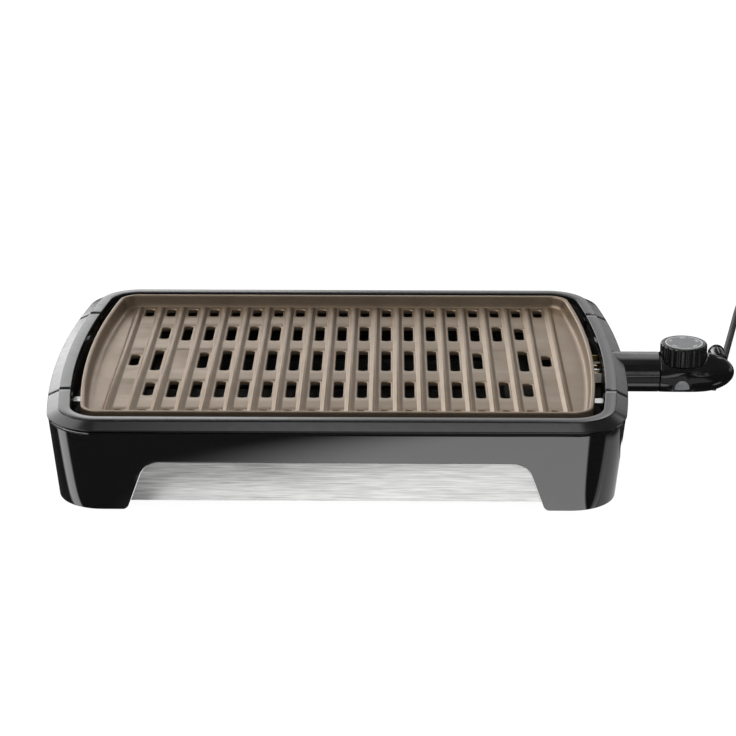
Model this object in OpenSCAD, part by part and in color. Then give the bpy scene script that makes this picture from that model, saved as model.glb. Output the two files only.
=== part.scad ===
// Electric open-grate grill with a lift-out plate, a slide-out drip tray and a plug-in heat control.
// X runs across the grill, Y runs from front to back, and Z is up from the table.

/* [Body] */
// Width of the body over its rim
body_w = 492; // [470:1:540]
// Depth of the body over its rim
body_d = 358; // [345:1:390]
// Radius of the four corners of the rim
corner_r = 45; // [43:1:60]
// Radius of the bowed left and right sides
side_r = 1000; // [800:10:2000]
// Height of the outer wall's top edge
wall_top = 67.7; // [66:0.1:72]
// Height of the gap under the outer wall
wall_bottom = 1.2; // [0.8:0.1:2]
// Thickness of the outer wall
wall_t = 2.6; // [2:0.1:3]
// How far the wall leans in at the sides, top to bottom
side_lean = 6.5; // [3:0.5:9]
// How far the wall leans in at the front and back, top to bottom
front_lean = 4.3; // [2:0.1:6]
// Half the width of the arch along its flat top
arch_half = 142; // [130:1:148]
// Height of the arch in the front and back walls
arch_top = 43.6; // [42:0.1:46]
// Radius of the arch's upper corners
arch_r = 17; // [12:0.5:20]
// Slope of the arch's sides from the vertical, in degrees
arch_slope = 20; // [10:1:24]
// Radius of the toe of each leg
toe_r = 6; // [3:0.5:8]

/* [Rim] */
// Height of the rim's flat top
rim_top = 76.8; // [76:0.1:80]
// Width of the rim's flat top
rim_flat = 9; // [8.5:0.5:10]
// Width of the sloped band outside the flat top
rim_slope_w = 10; // [8:0.5:12]
// Drop of the sloped band
rim_slope_h = 5; // [4:0.25:5.5]
// Height of the upright lip below the sloped band
rim_lip = 1.3; // [0.8:0.1:1.6]
// Thickness of the rim mouldings
rim_t = 2.4; // [2:0.1:2.8]
// Distance of each handle seam from the middle
seam_y = 98; // [90:1:110]
// Width of a handle seam
seam_gap = 0.8; // [0.4:0.1:1.2]

/* [Plate] */
// Gap between the rim and the grill plate
plate_gap = 8.5; // [7:0.5:9.5]
// Height of the plate's cooking floor
floor_z = 67.2; // [66.5:0.1:68]
// Thickness of the plate's floor
floor_t = 4.2; // [3:0.1:4.6]
// Height of the plate's lip above its floor
lip_h = 10.5; // [9:0.5:12]
// Height of the plate's skirt edge above the table
skirt_z = 60; // [59:0.25:61]
// Distance between neighbouring ribs
rib_pitch = 20; // [18:0.5:21]
// Width of a rib at its foot
rib_w = 8; // [6:0.25:8.5]
// Height of a rib
rib_h = 3; // [1.5:0.25:4]
// Width of a grease slot
slot_w = 8; // [6:0.25:9]
// Length of the slots in the middle row
middle_slot = 51; // [46:0.5:54]
// Nearest edge of the second row of slots to the middle
second_from = 52; // [50:0.5:54]
// Length of the slots in the second row
second_slot = 39; // [34:0.5:40]
// Nearest edge of the outer row of slots to the middle
outer_from = 119; // [118:0.5:120]
// Length of the slots in the outer row
outer_slot = 20.5; // [15:0.5:21]
// Radius of the heating element's sheath
element_r = 3.3; // [2.8:0.1:3.6]

/* [Tray] */
// Half the width of the drip pan
pan_half = 150; // [147:0.5:151]
// Depth of the drip pan, front to back
pan_d = 322; // [310:1:324]
// Height of the pan's floor above the table
pan_z = 9.6; // [8:0.1:12]
// Height of the pan's side flange
pan_top = 36; // [33:0.25:36.5]
// Thickness of the pan's sheet
pan_t = 0.8; // [0.6:0.1:1.2]
// Gap between the tray front and the arch
front_gap = 0.5; // [0.3:0.1:1]

/* [Heat control] */
// How far the control reaches out from the rim
probe_out = 98; // [90:1:110]
// Radius of the control's nose
nose_r = 17.5; // [17:0.1:18]
// Height of the control's centre line
probe_z = 57.9; // [57:0.1:58.5]
// Length of the nose outside the rim
nose_out = 31.6; // [28:0.2:34]
// Length of the head's straight stretch
head_straight = 34; // [30:0.5:36]
// Thickness of the control's shells
shell_t = 2.2; // [1.8:0.1:2.6]
// Radius of a terminal pin
pin_r = 2.4; // [2:0.1:2.5]
// Distance between the two terminal pins
pin_pitch = 20; // [19:0.25:20.5]
// Radius of the heat sensor rod
sensor_r = 2.5; // [2:0.1:3]

/* [Dial] */
// Radius of the dial
dial_r = 20.4; // [19:0.1:20.8]
// Height of the dial's top
dial_top = 85; // [82:0.5:90]
// Height of the flat that the dial turns on
deck_z = 68; // [67:0.1:69]
// Radius of the dial's shaft
shaft_r = 3; // [2.5:0.1:3.5]

/* [Cord] */
// Diameter of the mains cord
cord_d = 6.4; // [5.5:0.1:7]
// Radius of the coil at the middle of its turns
coil_r = 38.4; // [32:0.2:40]

/* [Hidden] */
$fn = 48;

// Small clearances
eps = 0.02;
fit_gap = 0.15;    // between parts of one assembly
run_gap = 0.08;    // round a turning shaft
lift_gap = 0.1;    // under a part that lifts off

// The row of parts is centred on the grill and its control together
half_w = body_w/2;
half_d = body_d/2;
centre_x = probe_out/2;

// ---- Outline of the body: straight front and back, bowed sides, round corners ----
side_n = 14;
corner_n = 7;
straight_r = 60000;    // stands for a side with no bow

function arc(cx, cy, r, a0, a1, n, last) =
    [for (i = [0:last ? n : n - 1]) let (a = a0 + (a1 - a0)*i/n) [cx + r*cos(a), cy + r*sin(a)]];

// The outline drawn in by dx at the sides and dy at the front and back
function outline(dx, dy, r_side = side_r, r_corner = undef) =
    let (r = is_undef(r_corner) ? corner_r - min(dx, dy) : r_corner,
         rs = r_side - dx,
         sx = half_w - dx - rs,
         cy = half_d - dy - r,
         cx = sx + sqrt(pow(rs - r, 2) - cy*cy),
         a = atan2(cy, cx - sx))
    concat(arc(sx, 0, rs, -a, a, side_n, false), arc(cx, cy, r, a, 90, corner_n, true),
        arc(-cx, cy, r, 90, 180 - a, corner_n, false), arc(-sx, 0, rs, 180 - a, 180 + a, side_n, false),
        arc(-cx, -cy, r, 180 + a, 270, corner_n, true), arc(cx, -cy, r, 270, 360 - a, corner_n, false));

// Half the width of the body at a distance y from the middle, for an outline drawn in by d
function side_x(y, d) = half_w - side_r + sqrt(pow(side_r - d, 2) - y*y);

// A closed ring: each entry of section is [outline, height], going round the section
module ring(section) {
    n = len(section[0][0]);
    m = len(section);
    points = [for (s = section) for (p = s[0]) [p[0], p[1], s[1]]];
    faces = [for (j = [0:m - 1]) for (i = [0:n - 1])
        let (a = j*n + i, b = j*n + (i + 1)%n, c = ((j + 1)%m)*n + (i + 1)%n, d = ((j + 1)%m)*n + i)
        each [[a, c, b], [a, d, c]]];
    polyhedron(points, faces);
}

// A block from its lowest corner to its highest
module block(low, high) {
    translate(low) cube(high - low);
}

// Runs along X, Y or Z from its start
module rod_x(p, r, length) { translate(p) rotate([0, 90, 0]) cylinder(r = r, h = length); }
module rod_y(p, r, length) { translate(p) rotate([-90, 0, 0]) cylinder(r = r, h = length); }
module rod_z(p, r, length) { translate(p) cylinder(r = r, h = length); }

module placed() { translate([-centre_x, 0, 0]) children(); }
module flip(sx, sy = 1) { mirror([sx < 0 ? 1 : 0, 0, 0]) mirror([0, sy < 0 ? 1 : 0, 0]) children(); }
module four(x, y) { for (sx = [-1, 1], sy = [-1, 1]) translate([sx*x, sy*y, 0]) children(); }

// ---- Outer wall ----
wall_h = wall_top - wall_bottom;
function lean_x(z) = 1 + side_lean*(wall_top - z)/wall_h;
function lean_y(z) = 1 + front_lean*(wall_top - z)/wall_h;
function wall_at(z, inward = 0) = [outline(lean_x(z) + inward, lean_y(z) + inward), z];

lip_z = rim_top - rim_slope_h - rim_lip;    // underside of the rim
tongue_in = 2.2;
tongue_back = tongue_in + 2.4;
frame_z = 48.6;       // underside of the inner frame's flange
frame_t = 2.2;
ledge_w = 1.3;        // ledge of the wall that the flange sits on
ledge_h = 4.6;
foot_x = half_w - 40;
foot_y = half_d - 29;
foot_r = 8;
foot_stem_r = 2.3;
foot_head_r = 3.4;
foot_head_h = 1.4;
pad_t = 2.6;

// The arch's outline, made smaller all round by gap, down to a level bottom edge
function arch_points(gap, bottom, toe) =
    let (zc = arch_top - arch_r,
         top = arc(arch_half, zc, arch_r - gap, 90, arch_slope, 8, true),
         toe_z = wall_bottom + toe_r,
         line_x = arch_half + arch_r*cos(arch_slope),
         line_z = zc + arch_r*sin(arch_slope),
         toe_x = line_x + (line_z - (toe_z - toe_r*sin(arch_slope)))*tan(arch_slope) + toe_r*cos(arch_slope),
         edge_x = line_x - gap/cos(arch_slope) + (line_z - bottom)*tan(arch_slope),
         low = toe ? concat(arc(toe_x, toe_z, toe_r, 180 + arch_slope, 270, 6, true), [[toe_x, bottom]])
                   : [[edge_x, bottom]],
         right = concat(top, low))
    concat(right, [for (i = [len(right) - 1:-1:0]) [-right[i][0], right[i][1]]]);

nose_hole_r = nose_r + 0.4;
nose_in = 16.4;       // the nose ends this far inside the rim's edge

module nose_hole() {
    rod_x([half_w - nose_in - 0.4, 0, probe_z], nose_hole_r, nose_in + 20);
}

module base_shell() {
    color("#141415") placed() difference() {
        union() {
            ring([wall_at(wall_top), [outline(tongue_in, tongue_in), wall_top],
                [outline(tongue_in, tongue_in), lip_z], [outline(tongue_back, tongue_back), lip_z],
                [outline(tongue_back, tongue_back), wall_top], wall_at(wall_top - 1, wall_t),
                wall_at(frame_z, wall_t), wall_at(frame_z, wall_t + ledge_w),
                wall_at(frame_z - ledge_h/2, wall_t + ledge_w), wall_at(frame_z - ledge_h, wall_t),
                wall_at(wall_bottom, wall_t), wall_at(wall_bottom)]);
            for (sx = [-1, 1], sy = [-1, 1]) intersection() {
                translate([0, 0, wall_bottom]) linear_extrude(pad_t)
                    polygon(outline(lean_x(wall_bottom) + wall_t/2, lean_y(wall_bottom) + wall_t/2));
                block([sx > 0 ? foot_x - 16 : -half_w, sy > 0 ? foot_y - 14 : -half_d, 0],
                    [sx > 0 ? half_w : 16 - foot_x, sy > 0 ? half_d : 14 - foot_y, 10]);
            }
        }
        for (side = [0, 180]) rotate([0, 0, side]) translate([0, -half_d + 20, 0]) rotate([90, 0, 0])
            linear_extrude(40) polygon(arch_points(0, wall_bottom - 2, true));
        four(foot_x, foot_y) rod_z([0, 0, 0], foot_stem_r + 0.1, 10);
        nose_hole();
    }
}

// Push-in feet: a disc under the pad, a stem through it and a head above it
module rubber_feet() {
    color("#2a2a2a") placed() four(foot_x, foot_y) {
        cylinder(r = foot_r, h = wall_bottom);
        cylinder(r = foot_stem_r, h = wall_bottom + pad_t + foot_head_h);
        rod_z([0, 0, wall_bottom + pad_t], foot_head_r, foot_head_h);
    }
}

// ---- Rim and handles ----
rim_w = rim_flat + rim_slope_w;
frame_wall = 2.4;      // thickness of the upright wall below the rim's inner edge
boss_in = 11.2;        // screw bosses stand this far inside the rim's edge
boss_r = 3.6;
screw_r = 1.5;
screw_head_r = 3.3;
screw_head_h = 2.2;
boss_hole = 17;
front_boss_x = [for (k = [-0.732, -0.285, 0.285, 0.732]) k*half_w];
handle_boss_y = 60;

module rim_ring() {
    under = rim_top - rim_t;
    slope_in = rim_slope_w + 0.8;
    ring([[outline(0, 0), lip_z], [outline(0, 0), lip_z + rim_lip],
        [outline(rim_slope_w, rim_slope_w), rim_top], [outline(rim_w - 0.6, rim_w - 0.6), rim_top],
        [outline(rim_w, rim_w), rim_top - 0.6], [outline(rim_w, rim_w), lip_z],
        [outline(rim_w - frame_wall, rim_w - frame_wall), lip_z],
        [outline(rim_w - frame_wall, rim_w - frame_wall), under],
        [outline(slope_in, slope_in), under], [outline(3.2, 3.2), lip_z]]);
}

module rim_boss(p) {
    difference() {
        rod_z([p[0], p[1], frame_z + frame_t], boss_r, rim_top - rim_t/2 - frame_z - frame_t);
        rod_z([p[0], p[1], frame_z], screw_r, frame_t + boss_hole);
    }
}

module end_rim() {
    difference() {
        rim_ring();
        block([-half_w - 1, -seam_y - seam_gap/2, 0], [half_w + 1, half_d + 1, 100]);
    }
    for (x = front_boss_x) rim_boss([x, -half_d + boss_in]);
}

module handle() {
    intersection() {
        rim_ring();
        block([0, -seam_y + seam_gap/2, 0], [half_w + 1, seam_y - seam_gap/2, 100]);
    }
    for (y = [-handle_boss_y, handle_boss_y]) rim_boss([side_x(y, boss_in), y]);
}

module front_rim() { color("#3a3a3c") placed() end_rim(); }
module back_rim() { color("#3a3a3c") placed() rotate([0, 0, 180]) end_rim(); }
module left_handle() { color("#3e3e40") placed() rotate([0, 0, 180]) handle(); }
module right_handle() { color("#3e3e40") placed() difference() { handle(); nose_hole(); } }

module screw_up(p, head_z, length) {
    rod_z([p[0], p[1], head_z - screw_head_h], screw_head_r, screw_head_h);
    rod_z([p[0], p[1], head_z - 1], screw_r - 0.1, length + 1);
}

module rim_screws() {
    color("silver") placed() {
        for (x = front_boss_x, sy = [-1, 1]) screw_up([x, sy*(half_d - boss_in)], frame_z, boss_hole);
        for (y = [-handle_boss_y, handle_boss_y], sx = [-1, 1])
            screw_up([sx*side_x(y, boss_in), y], frame_z, boss_hole);
    }
}

// Steel clips that tie each handle end to the rim, inside the upper edge
clip_t = 0.8;
clip_w = 9;
clip_h = 7;
module seam_clips() {
    color("silver") placed() for (sx = [-1, 1], sy = [-1, 1]) flip(sx, sy)
        translate([side_x(seam_y + clip_w/2, rim_w) - 0.1, seam_y, lip_z - 1.5])
            rotate([0, 0, asin(seam_y/side_r)]) block([-clip_t, -clip_w/2, -clip_h/2], [0, clip_w/2, clip_h/2]);
}

// ---- Inner frame: upright wall, grease deck and the opening over the pan ----
deck_open_x = pan_half - 6;     // half the width of the opening over the pan
deck_open_y = 153;
deck_flat = 28;        // width of the level band at each side of the opening
deck_low = 38;         // underside of the level band
deck_corner = 12;
back_lip = 4.5;        // depth of the lip that hangs from the deck behind the pan
lip_forward = 1.1;     // how far the lip reaches in front of the deck's edge, and into it
lip_seat = 0.4;
window_y = 16.6;       // half the width of the opening for the control's contacts
window_low = probe_z - 6.9;
window_high = probe_z + 8.1;
rest_y = 77;
rest_w = 11;
rest_t = 1.2;
rest_in = 14;
rail_screw_y = 105;
rail_screw_x = deck_open_x + deck_flat - 8;

module inner_frame() {
    frame_edge = wall_t + 0.1;
    open_dx = half_w - deck_open_x;
    open_dy = half_d - deck_open_y;
    function low_ring(widen, z) =
        [outline(open_dx - widen, open_dy - min(widen, 5), straight_r, deck_corner), z];
    wall_in = rim_w - frame_wall;
    color("#1b1b1d") placed() difference() {
        union() {
            ring([[outline(rim_w, rim_w), lip_z], [outline(rim_w, rim_w), frame_z + frame_t],
                low_ring(deck_flat, deck_low + frame_t), low_ring(0, deck_low + frame_t), low_ring(0, deck_low),
                low_ring(deck_flat, deck_low), [outline(rim_w - 1, rim_w - 1), frame_z],
                [outline(lean_x(frame_z) + frame_edge, lean_y(frame_z) + frame_edge), frame_z],
                [outline(lean_x(frame_z) + frame_edge, lean_y(frame_z) + frame_edge), frame_z + frame_t],
                [outline(wall_in, wall_in), frame_z + frame_t], [outline(wall_in, wall_in), lip_z]]);
            block([deck_corner - deck_open_x, deck_open_y - lip_forward, deck_low - back_lip],
                [deck_open_x - deck_corner, deck_open_y + lip_seat, deck_low + frame_t]);
            for (sx = [-1, 1], y = [-rail_screw_y, rail_screw_y])
                rod_z([sx*rail_screw_x, y, deck_low + 1], 3.2, 7.5);
            for (sx = [-1, 1], sy = [-1, 1])
                rod_x([sx > 0 ? rest_face() : -rest_face() - 6, sy*rest_y, rest_screw_z], 3, 6);
        }
        for (x = front_boss_x, sy = [-1, 1]) rod_z([x, sy*(half_d - boss_in), 40], screw_r + 0.3, 15);
        for (y = [-handle_boss_y, handle_boss_y], sx = [-1, 1])
            rod_z([sx*side_x(y, boss_in), y, 40], screw_r + 0.3, 15);
        for (sx = [-1, 1], y = [-rail_screw_y, rail_screw_y]) rod_z([sx*rail_screw_x, y, 30], screw_r, 14);
        for (sx = [-1, 1], y = [-rest_y, rest_y])
            rod_x([sx*(rest_face() + 2) - 6, y, rest_screw_z], screw_r, 12);
        block([half_w - rim_w - 1, -window_y, window_low],
            [half_w - rim_w + frame_wall + 2, window_y, window_high]);
        nose_hole();
    }
}

// Steel rests: an upright leg on the frame's wall and a tab under the plate's skirt
rest_screw_z = skirt_z - 5;
function rest_face() = side_x(rest_y + rest_w/2, rim_w) - 0.05;
module plate_rests() {
    x = rest_face();
    color("silver") placed() for (sx = [-1, 1], sy = [-1, 1]) flip(sx, sy) translate([0, rest_y, 0])
        difference() {
            union() {
                block([x - rest_t, -rest_w/2, skirt_z - 8], [x, rest_w/2, skirt_z - lift_gap]);
                block([x - rest_in, -rest_w/2, skirt_z - lift_gap - rest_t], [x, rest_w/2, skirt_z - lift_gap]);
            }
            rod_x([x - 5, 0, rest_screw_z], screw_r + 0.2, 10);
        }
}

module rest_screws() {
    x = rest_face();
    color("gray") placed() for (sx = [-1, 1], sy = [-1, 1]) flip(sx, sy) {
        rod_x([x - rest_t - 1.8, rest_y, rest_screw_z], 2.7, 1.8);
        rod_x([x - rest_t - 1, rest_y, rest_screw_z], screw_r - 0.1, 7);
    }
}

// ---- Tray rails: channels under the deck's level bands ----
rail_t = 1.4;
flange_w = 4.6;
rail_web = pan_half + flange_w + 1.4;
rail_front = -half_d + 22;
rail_back = half_d - 26;
rail_low = pan_top - pan_t - lift_gap;
module tray_rails() {
    color("#202022") placed() for (sx = [-1, 1]) flip(sx) difference() {
        union() {
            block([pan_half + 1, rail_front, rail_low - rail_t], [rail_web, rail_back, rail_low]);
            block([rail_web, rail_front, rail_low - rail_t], [rail_web + rail_t, rail_back, deck_low]);
            block([rail_web, rail_front, deck_low - rail_t], [rail_screw_x + 5, rail_back, deck_low]);
        }
        for (y = [-rail_screw_y, rail_screw_y]) rod_z([rail_screw_x, y, 20], screw_r + 0.2, 30);
    }
}
module rail_screws() {
    color("silver") placed() for (sx = [-1, 1], y = [-rail_screw_y, rail_screw_y])
        screw_up([sx*rail_screw_x, y], deck_low - rail_t, 6.5);
}

// ---- Drip tray ----
front_lean_angle = atan(front_lean/wall_h);
front_t = 1.2;
front_recess = 0.6;    // the tray front stands this far behind the wall's face
front_low = pan_z - 0.4;
pan_front = -half_d + lean_y(pan_z) + front_recess + front_t + 1.6;
module drip_pan() {
    color("#8c8c8c") placed() {
        difference() {
            block([-pan_half, pan_front, pan_z], [pan_half, pan_front + pan_d, pan_top]);
            block([-pan_half + pan_t, pan_front + pan_t, pan_z + pan_t],
                [pan_half - pan_t, pan_front + pan_d - pan_t, pan_top + 1]);
        }
        for (sx = [-1, 1]) flip(sx)
            block([pan_half - pan_t, pan_front, pan_top - pan_t],
                [pan_half + flange_w, pan_front + pan_d, pan_top]);
    }
}

// The brushed front, its finger lip and the tabs that join it to the pan
module tray_front() {
    face_y = -half_d + lean_y(front_low) + front_recess;
    color("#c9c9c9") placed() {
        translate([0, face_y, front_low]) rotate([front_lean_angle, 0, 0]) translate([0, front_t, 0])
            rotate([90, 0, 0]) linear_extrude(front_t)
                translate([0, -front_low]) polygon(arch_points(front_gap, front_low, false));
        block([-pan_half, face_y + front_t - 0.2, front_low], [pan_half, face_y + 7, front_low + 0.4]);
        for (sx = [-1, 1], x = [0.27*pan_half, 0.8*pan_half])
            block([sx*x - 6, face_y + front_t/2, pan_z + 6], [sx*x + 6, pan_front - 0.05, pan_z + 18]);
    }
}

// ---- Grill plate ----
plate_in = rim_w + plate_gap;           // the plate's edge, in from the rim's edge
lip_w = 3.4;
foot_in = plate_in + 8.5;               // where the inner wall's fillet meets the floor
lip_top = floor_z + lip_h;
rib_margin = 15;
rib_crest = 2.4;      // width of a rib's flat crest
rib_half = floor((half_w - foot_in - rib_margin - rib_pitch/2)/rib_pitch) + 1;
last_col = rib_half - 1;
second_to = second_from + second_slot;
outer_to = outer_from + outer_slot;
floor_under = floor_z - floor_t;
skirt_t = 2.5;
run_outer = (second_to + outer_from)/2;           // the element's runs lie between the rows of slots
run_inner = (middle_slot/2 + second_from)/2;
boss_w = 12;
boss_low = probe_z - element_r - 1.4;
leg_x = last_col*rib_pitch + slot_w/2 + 1 + boss_w/2;
turn_outer = (run_outer - run_inner)/2;
turn_corner = 30;
turn_end = 12;
end_x = leg_x + turn_end;                         // where the element's two ends come out
boss_end = end_x - 4;
inner_turn_x = (last_col - 2)*rib_pitch - run_inner;
bracket_screw_x = leg_x + boss_w/2 + 4;
bracket_screw_y = pin_pitch/2 + 20;
trough_y = pin_pitch/2 + 5.4;                     // half the width of the control's contact trough
tab_y = trough_y + 2;
notch_y = tab_y + 2.6;
notch_z = floor_under - 0.4;

// A slot with bevelled round corners
module slot(x, y0, y1) {
    r = 3.2;
    b = 0.95;
    w = slot_w/2;
    translate([x, 0]) polygon([[-w, y0 + r], [-w + b, y0 + b], [-w + r, y0], [w - r, y0], [w - b, y0 + b],
        [w, y0 + r], [w, y1 - r], [w - b, y1 - b], [w - r, y1], [-w + r, y1], [-w + b, y1 - b], [-w, y1 - r]]);
}

// Columns near the ends are short or bare where the element turns under the floor
function middle_length(c) = c == last_col ? middle_slot - 24 : c == last_col - 2 ? 0
    : c == last_col - 3 ? middle_slot - 11 : middle_slot;
function second_cut(c) = c == last_col ? second_slot : c == last_col - 1 ? 4 : 0;

module slots() {
    for (c = [-last_col:last_col]) {
        x = c*rib_pitch;
        m = middle_length(abs(c));
        cut = second_cut(abs(c));
        if (m > 0) slot(x, -m/2, m/2);
        for (side = [0, 180]) rotate(side) {
            slot(x, outer_from, outer_to);
            if (cut < second_slot) slot(x, second_from + cut, second_to - cut);
        }
    }
}

// The element's route as a flat band w wide, for the boss that it is cast into
module route_flat(w) {
    for (s = [0, 1]) mirror([0, s]) {
        translate([-leg_x + turn_outer, run_outer - w/2]) square([2*leg_x - turn_outer - turn_corner, w]);
        translate([-leg_x + turn_outer, run_inner - w/2]) square([leg_x - turn_outer + inner_turn_x, w]);
        bend_flat([-leg_x + turn_outer, run_inner + turn_outer], turn_outer, w, 90, 270);
        bend_flat([leg_x - turn_corner, run_outer - turn_corner], turn_corner, w, 0, 90);
        translate([leg_x - w/2, pin_pitch/2 + turn_end])
            square([w, run_outer - turn_corner - pin_pitch/2 - turn_end]);
        bend_flat([leg_x + turn_end, pin_pitch/2 + turn_end], turn_end, w, 180, 270);
    }
    bend_flat([inner_turn_x, 0], run_inner, w, -90, 90);
}

module bend_flat(c, r, w, a0, a1) {
    n = round((a1 - a0)/15);
    translate(c) polygon(concat([for (i = [0:n]) let (a = a0 + (a1 - a0)*i/n) (r + w/2)*[cos(a), sin(a)]],
        [for (i = [n:-1:0]) let (a = a0 + (a1 - a0)*i/n) (r - w/2)*[cos(a), sin(a)]]));
}

// The element's route from one end to the other
function half_route() = let (p = pin_pitch/2) concat([[end_x + 2, p]],
    arc(leg_x + turn_end, p + turn_end, turn_end, 270, 180, 6, true),
    arc(leg_x - turn_corner, run_outer - turn_corner, turn_corner, 0, 90, 6, true),
    arc(-leg_x + turn_outer, run_inner + turn_outer, turn_outer, 90, 270, 12, true));
element_route = let (h = half_route(), n = len(h)) concat([for (p = h) [p[0], p[1], probe_z]],
    [for (p = arc(inner_turn_x, 0, run_inner, 90, -90, 12, true)) [p[0], p[1], probe_z]],
    [for (i = [n - 1:-1:0]) [h[i][0], -h[i][1], probe_z]]);

module element_tube(r) {
    tube(element_route, constant(r, len(element_route)), 12);
}

module grill_plate() {
    inner = foot_in - 1;
    color("#8d7d6d") placed() difference() {
        union() {
            translate([0, 0, floor_under]) linear_extrude(floor_t) difference() {
                polygon(outline(foot_in + 0.4, foot_in + 0.4));
                slots();
            }
            ring([[outline(plate_in, plate_in), skirt_z], [outline(plate_in, plate_in), lip_top - 1.3],
                [outline(plate_in + 0.4, plate_in + 0.4), lip_top - 0.4],
                [outline(plate_in + 1.2, plate_in + 1.2), lip_top],
                [outline(plate_in + 2.4, plate_in + 2.4), lip_top],
                [outline(plate_in + lip_w, plate_in + lip_w), lip_top - 0.6],
                [outline(plate_in + 5, plate_in + 5), floor_z + 2.8],
                [outline(plate_in + 6.2, plate_in + 6.2), floor_z + 0.9],
                [outline(foot_in, foot_in), floor_z], [outline(foot_in + 1, foot_in + 1), floor_z],
                [outline(foot_in + 1, foot_in + 1), floor_under],
                [outline(plate_in + skirt_t, plate_in + skirt_t), floor_under],
                [outline(plate_in + skirt_t, plate_in + skirt_t), skirt_z]]);
            for (i = [0:rib_half - 1], s = [-1, 1])
                translate([s*(i + 0.5)*rib_pitch, half_d - inner, floor_z - eps])
                rotate([90, 0, 0]) linear_extrude(2*(half_d - inner))
                    polygon([[-rib_w/2, 0], [rib_w/2, 0],
                        [rib_crest/2 + 0.5, rib_h - 0.3], [rib_crest/2, rib_h],
                        [-rib_crest/2, rib_h], [-rib_crest/2 - 0.5, rib_h - 0.3]]);
            translate([0, 0, boss_low]) linear_extrude(floor_under - boss_low + eps) intersection() {
                route_flat(boss_w);
                translate([-half_w, -half_d]) square([half_w + boss_end, body_d]);
            }
            block([boss_end - 14, -3.6 - sensor_r, boss_low], [boss_end, 3.6 + sensor_r, floor_under + eps]);
            for (y = [-bracket_screw_y, bracket_screw_y])
                rod_z([bracket_screw_x, y, boss_low], 3.4, floor_under - boss_low + eps);
        }
        element_tube(element_r + fit_gap);
        rod_x([boss_end - 10, 0, probe_z], sensor_r + 0.3, 20);
        block([boss_end - 10, -sensor_r - 0.3, boss_low - 5], [boss_end + 10, sensor_r + 0.3, probe_z]);
        for (y = [-bracket_screw_y, bracket_screw_y]) rod_z([bracket_screw_x, y, boss_low - 1], 1.3, 8);
        block([boss_end + 6, -notch_y, skirt_z - 1], [half_w, notch_y, notch_z]);
    }
}

module heating_element() {
    color("#6a6a68") placed() element_tube(element_r);
}

pin_end = half_w - rim_w - 1;           // the pins stop short of the rim, so that the plate lifts clear
seal_h = 3;
module end_seals() {
    color("#e8e4da") placed() for (s = [-1, 1]) difference() {
        rod_x([end_x + 2, s*pin_pitch/2, probe_z], element_r, seal_h);
        rod_x([end_x, s*pin_pitch/2, probe_z], pin_r, seal_h + 6);
    }
}
module terminal_pins() {
    color("#b9bcc0") placed() for (s = [-1, 1]) {
        rod_x([end_x + 2, s*pin_pitch/2, probe_z], pin_r, pin_end - end_x - 3);
        translate([pin_end - 1, s*pin_pitch/2, probe_z]) rotate([0, 90, 0])
            cylinder(r1 = pin_r, r2 = pin_r - 0.8, h = 1);
    }
}

// Yellow plated bracket under the two ends, open in the middle, with an earth tab behind the pins
bracket_t = 1.2;
module terminal_bracket() {
    y = bracket_screw_y + 5;
    x0 = boss_end - boss_w - 1.5;
    skirt_x = half_w - plate_in;
    color("#a8924e") placed() difference() {
        union() {
            block([x0, -y, boss_low - bracket_t], [boss_end, y, boss_low]);
            for (s = [-1, 1]) flip(1, s) block([boss_end - 1, y - 10, boss_low - bracket_t],
                [bracket_screw_x + 4, y, boss_low]);
            block([boss_end - 1, tab_y, boss_low - bracket_t], [bracket_screw_x + 4, y - 5, boss_low]);
            block([boss_end + 2, tab_y, boss_low - bracket_t], [pin_end, tab_y + bracket_t, notch_z - 0.3]);
            block([skirt_x + 0.7, tab_y, boss_low - bracket_t], [pin_end, tab_y + bracket_t, floor_z - 1]);
        }
        for (s = [-1, 1]) rod_z([bracket_screw_x, s*bracket_screw_y, 40], 1.5, 20);
        block([x0 + 3.2, -sensor_r - 1, 40], [boss_end + 1, sensor_r + 1, 60]);
    }
}
module bracket_screws() {
    color("silver") placed() for (s = [-1, 1]) {
        rod_z([bracket_screw_x, s*bracket_screw_y, boss_low - bracket_t - 1.6], 2.6, 1.6);
        rod_z([bracket_screw_x, s*bracket_screw_y, boss_low - bracket_t - 1], 1.2, 7.5);
    }
}

// ---- Plug-in heat control ----
nose_x0 = half_w - nose_in;
nose_x1 = half_w + nose_out;
head_x0 = nose_x1 + 0.4;
head_x1 = head_x0 + head_straight;
head_x2 = half_w + probe_out;
head_r = nose_r + 0.1;
dial_clear = dial_r + 0.5;
dial_x = head_x0 + dial_clear + 0.1;
cover_z = probe_z - 12.4;             // the bottom cover's joint
column_x = [dial_x + 11, head_x2 - 17];
pad_x = dial_x - 2;
pad_r = head_r + 0.7;
pad_top = probe_z + 5.3;
pad_arch_r = 43;
cord_x = head_x2 - 12.5;
cord_z = probe_z + 8.6;
cord_boss_r = 6.6;
cord_boss_y = 27;
lens_w = 6.5;
lens_h = 8.3;
lens_z = pad_top - 15.7;

// The head as a solid of revolution about its centre line, drawn in by inset
module head_solid(inset) {
    r = head_r - inset;
    end = head_x2 - head_x1 - inset;
    n = 12;
    translate([0, 0, probe_z]) rotate([0, 90, 0]) rotate_extrude($fn = 72)
        polygon(concat([[0, head_x0 - (inset > 0 ? 1 : 0)], [r, head_x0 - (inset > 0 ? 1 : 0)]],
            [for (i = [0:n]) [r*cos(90*i/n), head_x1 + end*sin(90*i/n)]]));
}

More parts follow.
